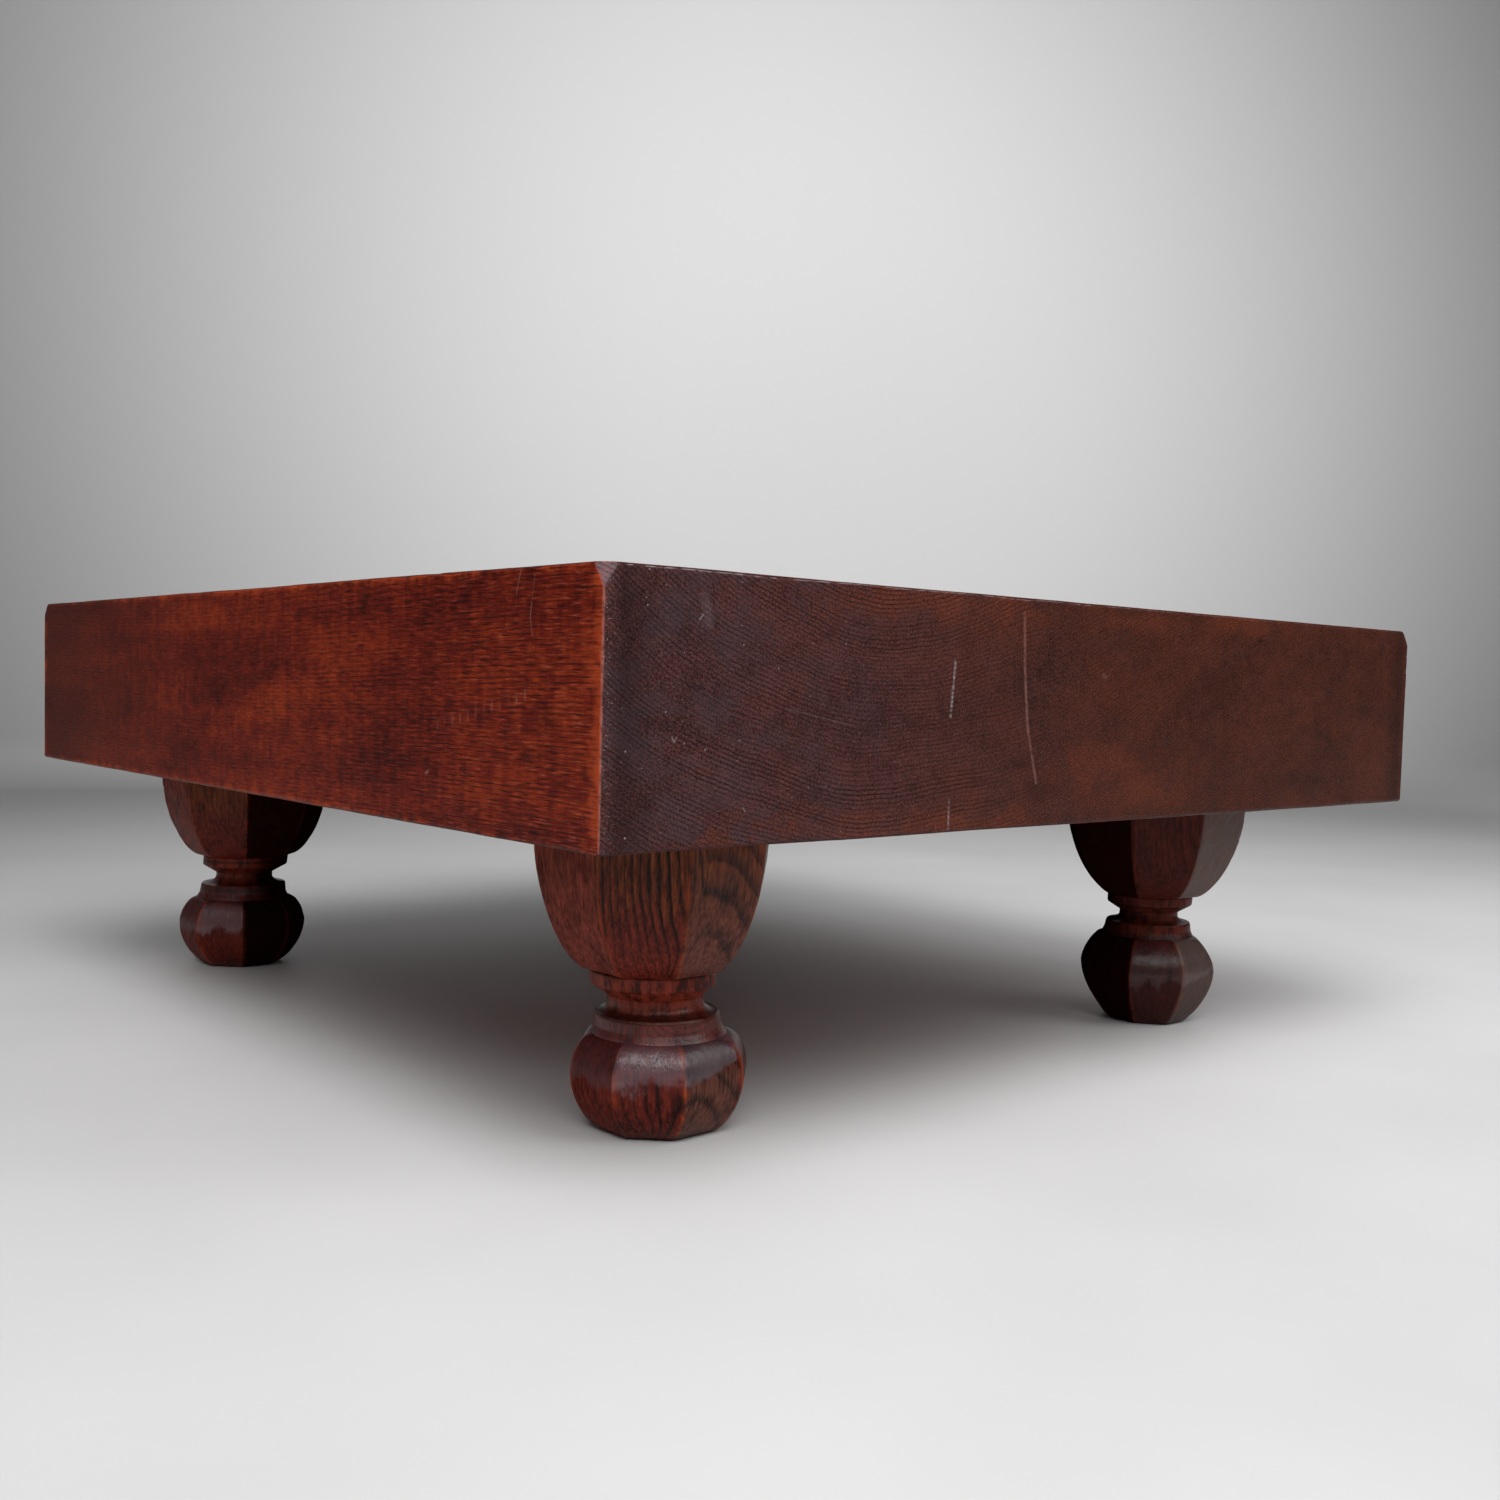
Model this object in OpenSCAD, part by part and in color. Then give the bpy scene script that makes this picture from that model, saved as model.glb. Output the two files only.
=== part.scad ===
// Low legged shogi board: one solid block on four carved legs that plug into its underside.
// Millimetres. +Z is up, +Y points to the back and the origin is on the floor under the middle of the block.
// The block's end grain faces the front and the back, and its long grain runs front to back.

/* [Block] */
// Width of the block, across the end grain
board_w = 333; // [280:1:400]
// Length of the block, along the grain
board_l = 364; // [320:1:440]
// Thickness of the block
board_t = 58; // [45:1:90]
// Rounding of the four upright corners
corner_r = 1; // [0.5:0.1:3]
// Chamfer along the top edges
top_edge = 1.2; // [0.4:0.1:3]
// Chamfer along the bottom edges
bottom_edge = 0.8; // [0.4:0.1:3]
// How far the flat shaved off each top corner reaches along the top edges
shave_out = 4.2; // [2:0.1:10]
// How far that flat reaches down the corner
shave_down = 5.8; // [2:0.1:12]

/* [Hollow in the underside] */
// Width of the square hollow at its mouth
hollow_w = 112; // [90:1:130]
// Depth of the hollow
hollow_d = 16; // [11:0.5:25]
// Width and depth of the bevel round its mouth
hollow_bevel = 6; // [2:0.5:9]
// Width of the navel at its foot, the low pyramid that is left standing in the hollow
navel_w = 56; // [40:1:70]
// Width of the flat top of the navel
navel_top_w = 22; // [10:1:36]
// Height of the navel
navel_h = 9; // [4:0.5:10]

/* [Playing grid] */
// Squares along each side of the grid
squares = 9; // [9:1:9]
// Width of a square
cell_w = 34.9; // [26:0.1:36]
// Length of a square
cell_l = 38.7; // [28:0.1:40]
// Width of the inner lines
line_w = 0.9; // [0.5:0.1:1.6]
// Width of the four border lines
border_w = 1.3; // [0.6:0.1:2.4]
// Height of the lacquer in the lines above the wood
line_t = 0.25; // [0.1:0.05:0.4]
// Depth of the grooves that the lacquer fills
line_sink = 0.15; // [0.1:0.05:0.5]
// Diameter of the four star points
star_d = 4; // [2.6:0.1:7]
// Height of the star points
star_t = 0.5; // [0.45:0.05:0.8]
// Number of squares between a star point and the border
star_squares = 3; // [1:1:4]

/* [Places of the legs] */
// From the left side of the block to the axis of the left legs
leg_in_left = 56; // [44:1:70]
// From the right side of the block to the axis of the right legs
leg_in_right = 68; // [44:1:70]
// From the front of the block to the axis of the front legs
leg_in_front = 53; // [44:1:70]
// From the back of the block to the axis of the back legs
leg_in_back = 53; // [44:1:70]
// How much higher the neck of the front right leg was cut than that of the front left leg
lift_front_right = 3; // [-2:0.5:5]
// How much higher the neck of the back left leg was cut
lift_back_left = 1.5; // [-2:0.5:5]
// How much higher the neck of the back right leg was cut
lift_back_right = 1; // [-2:0.5:5]

/* [Leg] */
// Height of a leg, from the floor to the underside of the block
leg_h = 75; // [66:1:95]
// Number of flats carved round the cup and the bulb
flats = 8; // [6:2:10]
// Width of the cup across its flats, under the block
cup_w = 56; // [46:1:64]
// Width of the cup across its flats, where it ends on the collar
cup_foot_w = 31; // [28:0.5:38]
// How straight the cup's side falls before it turns in: smaller is fuller
cup_fall = 0.65; // [0.45:0.05:1]
// Diameter of the turned collar under the cup
collar_d = 31.2; // [27:0.2:38]
// Height of the collar's wall
collar_h = 3.5; // [2:0.1:6]
// Height of the bevel from the collar in to the neck
collar_bevel = 3; // [1.5:0.1:5]
// Diameter of the neck
neck_d = 23.8; // [18:0.2:26]
// Height of the straight part of the neck
neck_h = 1.2; // [0.5:0.1:4]
// Height of the cove from the neck out to the rim of the band
cove_h = 2.8; // [1.5:0.1:5]
// Diameter of the band at its rim
rim_d = 31; // [27:0.2:36]
// Diameter of the band at its foot
band_d = 33.6; // [30:0.2:38]
// Height of the band
band_h = 5.2; // [3:0.1:8]
// Height of the bulb, from the floor to the foot of the band
bulb_h = 23.5; // [18:0.5:28]
// Width of the bulb across its flats, at its widest
bulb_w = 41.5; // [39:0.5:50]
// How straight the bulb's side falls from that widest place: smaller is fuller
bulb_fall = 0.78; // [0.5:0.02:1]
// Height of that widest place above the floor
bulb_waist_h = 14.5; // [9:0.5:16]
// Width of the foot across its flats
foot_w = 27; // [20:0.5:34]

/* [Tenon and socket] */
// Diameter of the round tenon on top of each leg
tenon_d = 24; // [16:0.5:28]
// Length of the tenon
tenon_l = 22; // [14:0.5:30]
// Chamfer round the tenon's end
tenon_edge = 1; // [0.3:0.1:2]
// Gap between the tenon and the wall of its socket
socket_gap = 0.05; // [0.02:0.01:0.1]
// Gap that is left between the top of the cup and the block
seat_gap = 0.05; // [0.03:0.01:0.1]
// Depth of the socket past the end of the tenon
socket_spare = 1; // [0.5:0.1:3]

/* [Hidden] */
$fn = 64;
cut = 1;
curve_steps = 12;
corner_steps = 32;
top_z = leg_h + board_t;
seat_z = leg_h - seat_gap;
left_x = -board_w / 2 + leg_in_left;
right_x = board_w / 2 - leg_in_right;
front_y = -board_l / 2 + leg_in_front;
back_y = board_l / 2 - leg_in_back;
leg_places = [[left_x, front_y], [right_x, front_y], [left_x, back_y], [right_x, back_y]];
socket_d = tenon_d + 2 * socket_gap;
socket_l = tenon_l + socket_spare;
grid_w = squares * cell_w;
grid_l = squares * cell_l;
star_x = grid_w / 2 - star_squares * cell_w;
star_y = grid_l / 2 - star_squares * cell_l;
block_colour = [0.36, 0.13, 0.09];
leg_colour = [0.27, 0.13, 0.11];
lacquer_colour = [0.03, 0.02, 0.02];

// Radius of a carved shape's corners, from its width across the flats
function corner_of(w) = w / 2 / cos(180 / flats);

// The cup's side: from its foot (t = 0) out and up to the block (t = 1), a quarter of a full oval
function cup_side(t) = cup_foot_w + (cup_w - cup_foot_w) * pow(1 - pow(1 - t, 2), cup_fall);

// The bulb's side: widest at its waist, and rounding in to w at the end (s = 1) that is asked for
function bulb_side(s, w) = w + (bulb_w - w) * pow(1 - pow(s, 2), bulb_fall);

// A plate with rounded corners, its lower face at height z
module plate(w, l, z, h) {
    translate([0, 0, z])
        linear_extrude(h)
            union() {
                square([w - 2 * corner_r, l], center = true);
                square([w, l - 2 * corner_r], center = true);
                for (x = [-1, 1], y = [-1, 1])
                    translate([x * (w / 2 - corner_r), y * (l / 2 - corner_r)])
                        circle(corner_r, $fn = corner_steps);
            }
}

// The chamfered block without its cuts
module block() {
    hull() {
        plate(board_w - 2 * bottom_edge, board_l - 2 * bottom_edge, leg_h, bottom_edge);
        plate(board_w, board_l, leg_h + bottom_edge, board_t - bottom_edge - top_edge);
        plate(board_w - 2 * top_edge, board_l - 2 * top_edge, top_z - top_edge, top_edge);
    }
}

// What is shaved off one top corner: everything over a sloping plane through three points of its edges
module corner_shaving() {
    reach = shave_out * sqrt(0.5);
    size = 4 * max(shave_out, shave_down);
    translate([-reach, 0, 0])
        rotate([0, atan2(shave_down, reach), 0])
            translate([-size, -size, 0])
                cube(2 * size);
}

// A square frustum that stands on z = 0
module square_frustum(foot, top, h) {
    linear_extrude(h, scale = top / foot)
        square(foot, center = true);
}

// The square hollow: a bevelled mouth, upright walls and a low pyramid left standing on its floor
module underside_hollow() {
    inner_w = hollow_w - 2 * hollow_bevel;
    difference() {
        union() {
            translate([0, 0, leg_h])
                square_frustum(hollow_w, inner_w, hollow_bevel);
            translate([-inner_w / 2, -inner_w / 2, leg_h + hollow_bevel])
                cube([inner_w, inner_w, hollow_d - hollow_bevel]);
            translate([-hollow_w / 2, -hollow_w / 2, leg_h - cut])
                cube([hollow_w, hollow_w, cut]);
        }
        translate([0, 0, leg_h + hollow_d - navel_h])
            square_frustum(navel_top_w, navel_w, navel_h);
    }
}

// The block: a square hollow and four round sockets in its underside, four shaved top corners,
// and the grooves of the grid
module board() {
    color(block_colour)
        difference() {
            block();
            underside_hollow();
            for (place = leg_places)
                translate([place.x, place.y, leg_h - cut])
                    cylinder(d = socket_d, h = socket_l + cut);
            for (x = [-1, 1], y = [-1, 1])
                translate([x * board_w / 2, y * board_l / 2, top_z])
                    rotate([0, 0, atan2(y, x)])
                        corner_shaving();
            line_network(line_sink + cut);
        }
}

// One line of the grid, centred on x, y, that starts at the foot of its groove and is h high
module grid_line(x, y, w, l, h) {
    translate([x - w / 2, y - l / 2, top_z - line_sink])
        cube([w, l, h]);
}

// All the lines, h high: the first and the last each way are the wider border
module line_network(h) {
    for (i = [0 : squares]) {
        w = i == 0 || i == squares ? border_w : line_w;
        grid_line((i - squares / 2) * cell_w, 0, w, grid_l + border_w, h);
        grid_line(0, (i - squares / 2) * cell_l, grid_w + border_w, w, h);
    }
}

// The lacquer lines, which fill their grooves and stand a little above the playing surface
module grid_lines() {
    color(lacquer_colour)
        line_network(line_sink + line_t);
}

// Four dots of lacquer, dropped over crossings of the lines
module star_points() {
    color(lacquer_colour)
        difference() {
            for (x = [-1, 1], y = [-1, 1])
                translate([x * star_x, y * star_y, top_z])
                    cylinder(d = star_d, h = star_t);
            grid_line(-star_x, 0, line_w, grid_l, line_sink + line_t);
            grid_line(star_x, 0, line_w, grid_l, line_sink + line_t);
            grid_line(0, -star_y, grid_w, line_w, line_sink + line_t);
            grid_line(0, star_y, grid_w, line_w, line_sink + line_t);
        }
}

// A carved shape from a list of [half width across the flats, height], closed along the axis,
// with its flats square to the block's sides
module carved(side) {
    first = side[0];
    last = side[len(side) - 1];
    points = [for (p = side) [corner_of(2 * p.x), p.y]];
    rotate([0, 0, 180 / flats])
        rotate_extrude($fn = flats)
            polygon(concat([[0, first.y]], points, [[0, last.y]]));
}

// The cup, from its foot at height z up to the block
module cup(z) {
    // Steps that crowd towards the foot, where the side turns in sharply
    steps = [for (i = [0 : curve_steps]) pow(i / curve_steps, 1.8)];
    carved([for (t = steps) [cup_side(t) / 2, z + t * (seat_z - z)]]);
}

// The bulb, from the floor up to its shoulder at height z
module bulb(z) {
    waist_z = bulb_waist_h * z / bulb_h;
    low = [for (i = [0 : curve_steps]) let (s = 1 - i / curve_steps)
        [bulb_side(s, foot_w) / 2, waist_z * (1 - s)]];
    high = [for (i = [1 : curve_steps]) let (s = i / curve_steps)
        [bulb_side(s, band_d) / 2, waist_z + (z - waist_z) * s]];
    carved(concat(low, high));
}

// The turned part between bulb and cup, its foot at height z: band, cove, neck, bevel and collar
module turned(z) {
    core_r = neck_d / 2 - 2;
    core_cut = 3;
    rim_z = z + band_h;
    neck_z = rim_z + cove_h;
    bevel_z = neck_z + neck_h;
    wall_z = bevel_z + collar_bevel;
    // The cove is a quarter of an oval, hollow side up
    cove = [for (a = [0 : 15 : 90]) [
        rim_d / 2 - 1 - (rim_d / 2 - 1 - neck_d / 2) * sin(a),
        rim_z + cove_h * (1 - cos(a))]];
    rotate_extrude()
        polygon(concat(
            [[0, z - core_cut], [core_r, z - core_cut], [core_r, z], [band_d / 2, z]],
            [[rim_d / 2, rim_z - 0.6], [rim_d / 2 - 0.4, rim_z]],
            cove,
            [[neck_d / 2, bevel_z], [collar_d / 2, wall_z], [collar_d / 2, wall_z + collar_h]],
            [[core_r, wall_z + collar_h], [core_r, wall_z + collar_h + core_cut], [0, wall_z + collar_h + core_cut]]));
}

// One leg with its tenon, at a place under the block, its neck lifted by lift
module leg(place, lift) {
    shoulder_z = bulb_h + lift;
    cup_z = shoulder_z + band_h + cove_h + neck_h + collar_bevel + collar_h;
    color(leg_colour)
        translate([place.x, place.y, 0])
            union() {
                bulb(shoulder_z);
                turned(shoulder_z);
                cup(cup_z);
                translate([0, 0, seat_z - cut])
                    cylinder(d = tenon_d, h = tenon_l - tenon_edge + seat_gap + cut);
                translate([0, 0, leg_h + tenon_l - tenon_edge])
                    cylinder(d1 = tenon_d, d2 = tenon_d - 2 * tenon_edge, h = tenon_edge);
            }
}

module front_left_leg() {
    leg([left_x, front_y], 0);
}

module front_right_leg() {
    leg([right_x, front_y], lift_front_right);
}

module back_left_leg() {
    leg([left_x, back_y], lift_back_left);
}

module back_right_leg() {
    leg([right_x, back_y], lift_back_right);
}

board();
grid_lines();
star_points();
front_left_leg();
front_right_leg();
back_left_leg();
back_right_leg();
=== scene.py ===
"""A low legged shogi board: one thick block of dark red lacquered hardwood on four carved legs.

Shapes are worked out in millimetres in the part's own frame (+Z up, +Y to the back, the origin on the
floor under the middle of the block) and become metres when they are made into a mesh.
"""

import math

import bpy
import numpy as np
from mathutils import Matrix, Vector


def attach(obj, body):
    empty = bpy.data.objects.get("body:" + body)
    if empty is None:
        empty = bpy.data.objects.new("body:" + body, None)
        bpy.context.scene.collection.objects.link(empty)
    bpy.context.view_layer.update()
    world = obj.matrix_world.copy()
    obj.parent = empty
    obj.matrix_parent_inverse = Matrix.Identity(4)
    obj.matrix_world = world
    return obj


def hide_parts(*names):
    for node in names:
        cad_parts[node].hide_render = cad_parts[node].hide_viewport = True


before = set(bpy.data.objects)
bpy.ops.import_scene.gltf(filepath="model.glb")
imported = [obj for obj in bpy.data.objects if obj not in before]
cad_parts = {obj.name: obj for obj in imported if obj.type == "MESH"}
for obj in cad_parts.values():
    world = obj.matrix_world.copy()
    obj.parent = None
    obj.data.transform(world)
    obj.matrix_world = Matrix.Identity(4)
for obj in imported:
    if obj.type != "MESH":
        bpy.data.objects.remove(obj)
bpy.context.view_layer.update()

MM = 0.001
TAU = 2 * math.pi

# The block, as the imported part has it
BLOCK = np.array([166.5, 182.0, 29.0])  # half its width, length and thickness
BLOCK_MIDDLE = np.array([0.0, 0.0, 104.0])
UNDERSIDE_Z, TOP_Z = 75.0, 133.0
SIDE_X, FRONT_Y = -166.5, -182.0
SHAVE_OUT, SHAVE_DOWN = 4.2, 5.8

# The hollow in the underside and the sockets of the legs
HOLLOW_W, HOLLOW_D, HOLLOW_BEVEL = 112.0, 16.0, 6.0
NAVEL_W, NAVEL_TOP_W, NAVEL_H = 56.0, 22.0, 9.0
SOCKET_R, SOCKET_L = 12.05, 23.0

# The playing grid
SQUARES, CELL_W, CELL_L = 9, 34.9, 38.7
LINE_W, BORDER_W, LINE_T = 0.9, 1.3, 0.25
LINE_SHOULDER = 0.12  # how far under the top face the rounding of a line starts
LINE_SUNK = 0.45  # how deep its sides reach into the wood, which was planed a little uneven
STAR_R, STAR_T = 2.0, 0.5

# A leg, from the floor up
SEAT_Z = 74.95
CUP_W, CUP_FOOT_W, CUP_FALL = 56.0, 31.0, 0.65
COLLAR_R, COLLAR_H, COLLAR_BEVEL = 15.6, 3.5, 3.0
NECK_R, NECK_H, COVE_H = 11.9, 1.2, 2.8
RIM_R, BAND_R, BAND_H = 15.5, 16.8, 5.2
BULB_H, BULB_W, BULB_WAIST, FOOT_W = 23.5, 41.5, 14.5, 27.0
TENON_R, TENON_L, TENON_EDGE = 12.0, 22.0, 1.0
TURNED_H = BAND_H + COVE_H + NECK_H + COLLAR_BEVEL + COLLAR_H
# What the leg's material reads at each point, besides its place in the blank
LEG_MASKS = "ridge", "recess", "inner", "turned", "stain", "figure", "grey", "front_flat", "left_flat"


# ---- shared working methods


def linear(hex_colour):
    """An sRGB hex colour as the linear RGBA that the shaders use."""
    parts = [int(hex_colour[i : i + 2], 16) / 255 for i in (1, 3, 5)]
    return [p / 12.92 if p <= 0.04045 else ((p + 0.055) / 1.055) ** 2.4 for p in parts] + [1.0]


def add(tree, kind, *inputs, out=0, **settings):
    """Adds one shader node of a kind, which may be a pair with the node's main option. Inputs fill its
    sockets in order (None leaves one alone), keywords that name a socket as s_Name fill that socket,
    and other keywords are the node's own options."""
    if isinstance(kind, tuple):
        kind, choice = kind
        settings["interpolation_type" if kind == "MapRange" else "operation"] = choice
    made = tree.nodes.new("ShaderNode" + kind)
    named = {k[2:].replace("_", " "): v for k, v in settings.items() if k.startswith("s_")}
    for name, value in settings.items():
        if not name.startswith("s_"):
            setattr(made, name, value)
    for socket, value in list(enumerate(inputs)) + list(named.items()):
        if isinstance(value, bpy.types.NodeSocket):
            tree.links.new(value, made.inputs[socket])
        elif value is not None:
            made.inputs[socket].default_value = value
    return made.outputs[out] if made.outputs else made


def rough(p, cell, layer=0):
    """Smooth random heights from -1 to 1 at the points p: each lattice corner, cell mm apart, gets a
    fixed number from the sine of its place, and the eight round a point are blended smoothly."""
    q = np.asarray(p, float) / cell
    base = np.floor(q)
    part = q - base
    part = part * part * (3 - 2 * part)
    total = np.zeros(q.shape[:-1])
    for corner in np.ndindex(2, 2, 2):
        c = np.array(corner)
        at = base + c
        value = np.sin(at @ np.array([12.9898, 78.233, 37.719]) + layer * 17.17) * 43758.5453
        weight = np.prod(np.where(c == 1, part, 1 - part), axis=-1)
        total += weight * (2 * (value - np.floor(value)) - 1)
    return total


def placed(made):
    """An object, put into the scene."""
    bpy.context.scene.collection.objects.link(made)
    return made


def make_mesh(name, points, faces, material, smooth_angle=None, **attributes):
    """A mesh object from points in mm and faces, with per-point vectors or numbers as attributes.
    Edges sharper than smooth_angle degrees stay sharp."""
    mesh = bpy.data.meshes.new(name)
    mesh.from_pydata((points * MM).tolist(), [], faces)
    for key, values in attributes.items():
        kind, field = ("FLOAT_VECTOR", "vector") if values.ndim == 2 else ("FLOAT", "value")
        kept = mesh.attributes.new(key, kind, "POINT")
        kept.data.foreach_set(field, values.astype(np.float32).ravel())
    mesh.materials.append(material)
    mesh.shade_smooth()
    if smooth_angle:
        mesh.set_sharp_from_angle(angle=math.radians(smooth_angle))
    return placed(bpy.data.objects.new(name, mesh))


def grid_faces(rows, columns, wrap):
    """The quads of a grid of points, row by row. With wrap the last column joins the first."""
    r = np.arange(rows - 1)[:, None] * columns
    c = np.arange(columns if wrap else columns - 1)[None, :]
    n = (c + 1) % columns
    return np.stack([r + c, r + n, r + columns + n, r + columns + c], -1).reshape(-1, 4)


def tube_faces(rows, columns):
    """The quads of a tube's points, ring by ring, and the two faces that close its ends."""
    last = (rows - 1) * columns
    ends = [list(range(columns))[::-1], list(range(last, last + columns))]
    return grid_faces(rows, columns, True).tolist() + ends


def joined(parts):
    """Several (points, faces) as one."""
    faces, start = [], 0
    for points, some in parts:
        faces += [[k + start for k in face] for face in some]
        start += len(points)
    return np.concatenate([points for points, _ in parts]), faces


def softest(values, width):
    """The smallest along axis 1, with the corners between two nearly equal ones rounded by width."""
    low = values.min(1)
    return low - width * np.log(np.exp(-(values - low[:, None]) / width).sum(1))


# ---- the block

# How far from an edge the grid's lines lie there, and how far apart they lie elsewhere
EDGE_STEPS = np.array([0, 0.25, 0.5, 0.8, 1.15, 1.6, 2.2, 3.0, 4.0, 5.2, 6.8])
FACE_STEP, UPRIGHT_STEP = 4.0, 0.9


def edge_ticks(half, middle_step, fine):
    """Places along one side: fine steps near both ends, for the rounded edges, then middle_step."""
    inner = half - fine[-1]
    middle = np.linspace(-inner, inner, int(round(2 * inner / middle_step)) + 1)
    return np.concatenate([-half + fine[:-1], middle, half - fine[-2::-1]])


def block_shell():
    """The block's skin. Each side of the box is a grid. A point P of the box is pulled to the inner
    box that is r smaller all round, Q, and put back at Q + r (P - Q) / |P - Q|, which rounds every
    edge by r; r grows where an edge is worn. Points beyond a shaved corner's plane are moved square
    onto it."""
    ticks = [
        edge_ticks(BLOCK[0], FACE_STEP, EDGE_STEPS),
        edge_ticks(BLOCK[1], FACE_STEP, EDGE_STEPS),
        edge_ticks(BLOCK[2], UPRIGHT_STEP, EDGE_STEPS[:9]),
    ]
    sides = []
    for axis in range(3):
        u, v = [i for i in range(3) if i != axis]
        for sign in (-1, 1):
            a, b = np.meshgrid(ticks[u], ticks[v], indexing="ij")
            p = np.empty(a.shape + (3,))
            p[..., u], p[..., v], p[..., axis] = a, b, sign * BLOCK[axis]
            quads = grid_faces(len(ticks[u]), len(ticks[v]), False)
            # Axes u, v, axis are right-handed for axis 0 and 2 and left-handed for axis 1
            if (sign > 0) == (axis == 1):
                quads = quads[:, ::-1]
            sides.append((p.reshape(-1, 3), quads))
    points, faces = joined(sides)
    _, first, back = np.unique(np.round(points, 4), axis=0, return_index=True, return_inverse=True)
    points, faces = points[first], back.ravel()[faces]

    wear = 0.5 + 0.5 * rough(points, 14.0, 1)
    nicks = np.clip(rough(points, 1.7, 2) - 0.35, 0, 1) + np.clip(rough(points, 5.0, 3) - 0.55, 0, 1)
    radius = (0.75 + 0.5 * wear + 0.9 * nicks)[:, None]
    inner = np.clip(points, -(BLOCK - radius), BLOCK - radius)
    out = points - inner
    length = np.maximum(np.linalg.norm(out, axis=1, keepdims=True), 1e-9)
    points = inner + radius * out / length

    # Hand planing left the sides very slightly hollow and wavy
    waves = 0.11 * (1 + rough(points, 46.0, 4)) + 0.03 * (1 + rough(points, 11.0, 5))
    points -= waves[:, None] * out / length

    reach = SHAVE_OUT * math.sqrt(0.5)
    slope = math.atan2(SHAVE_DOWN, reach)
    for x in (-1, 1):
        for y in (-1, 1):
            turn = math.atan2(y, x)
            level = np.array([math.cos(turn), math.sin(turn), 0.0])
            normal = level * math.sin(slope) + np.array([0, 0, math.cos(slope)])
            at = np.array([x * BLOCK[0], y * BLOCK[1], BLOCK[2]]) - reach * level
            over = (points - at) @ normal + 0.12 * rough(points, 2.5, 6)
            points -= np.clip(over, 0, None)[:, None] * normal
    return points + BLOCK_MIDDLE, faces.tolist()


def underside_cutter(material):
    """What is cut out of the underside: a bevelled square hollow, whose ceiling holds the low pyramid,
    and four round sockets. The hollow is one skin of square rings, given by width and height, from its
    mouth up to the ceiling and back down to the flat top of the pyramid. It and the sockets start 1 mm
    under the block."""
    below, ceiling = UNDERSIDE_Z - 1, UNDERSIDE_Z + HOLLOW_D
    inner = HOLLOW_W - 2 * HOLLOW_BEVEL
    rings = [
        (HOLLOW_W + 2, below), (inner, UNDERSIDE_Z + HOLLOW_BEVEL), (inner, ceiling),
        (NAVEL_W, ceiling), (NAVEL_TOP_W, ceiling - NAVEL_H),
    ]
    corners = ((-1, -1), (1, -1), (1, 1), (-1, 1))
    points = np.array([[x * width / 2, y * width / 2, z] for width, z in rings for x, y in corners])
    made = [(points, tube_faces(len(rings), 4))]
    turn = np.arange(64) * TAU / 64
    circle = np.stack([np.cos(turn), np.sin(turn), 0 * turn], -1) * SOCKET_R
    for leg in LEGS.values():
        foot = circle + np.array([*leg["axis"], below])
        *sides, low, high = tube_faces(2, 64)
        made.append((np.concatenate([foot, foot + [0, 0, SOCKET_L + 1]]), [low, high, *sides]))
    return make_mesh("underside_cutter", *joined(made), material)


def make_block(material):
    """The block: its worn skin with the hollow and the sockets cut out of the underside."""
    block = make_mesh("worn_block", *block_shell(), material)
    cutter = underside_cutter(material)
    cut = block.modifiers.new("underside", "BOOLEAN")
    cut.object, cut.operation, cut.solver = cutter, "DIFFERENCE", "EXACT"
    ready = block.evaluated_get(bpy.context.evaluated_depsgraph_get())
    mesh = bpy.data.meshes.new_from_object(ready)
    block.modifiers.clear()
    block.data = mesh
    bpy.data.objects.remove(cutter)
    mesh.shade_smooth()
    mesh.set_sharp_from_angle(angle=math.radians(35))
    return block


# ---- the lacquer of the grid


def lacquer_lines(material):
    """The lines: each is a low rounded strip whose height over its width is a half oval and whose
    width wanders a little, as lacquer drawn along a blade does."""
    across = np.linspace(0, math.pi, 9)
    steps = np.linspace(-0.5, 0.5, 181)
    made = []
    for way, pitch, length in ((0, CELL_W, SQUARES * CELL_L), (1, CELL_L, SQUARES * CELL_W)):
        for i in range(SQUARES + 1):
            width = BORDER_W if i in (0, SQUARES) else LINE_W
            place = (i - SQUARES / 2) * pitch
            along = steps * (length + BORDER_W - 0.1)
            probe = np.stack([along, 0 * along + place, 0 * along + way * 50], -1)
            half = width / 2 * (0.93 + 0.07 * rough(probe, 6.0, 7))
            drift = 0.06 * rough(probe, 30.0, 8)
            side = drift[:, None] - half[:, None] * np.cos(across)
            uneven = 0.94 + 0.06 * rough(probe, 4.0, 9)[:, None]
            oval = (LINE_T + LINE_SHOULDER) * np.sin(across) ** 0.6
            height = TOP_Z - LINE_SHOULDER + oval * uneven
            height[:, [0, -1]] = TOP_Z - LINE_SUNK
            p = np.empty(side.shape + (3,))
            p[..., way], p[..., 1 - way], p[..., 2] = side + place, along[:, None], height
            faces = tube_faces(len(steps), len(across))
            if way == 1:
                faces = [face[::-1] for face in faces]
            made.append((p.reshape(-1, 3), faces))
    return make_mesh("drawn_lines", *joined(made), material, smooth_angle=50)


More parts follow.
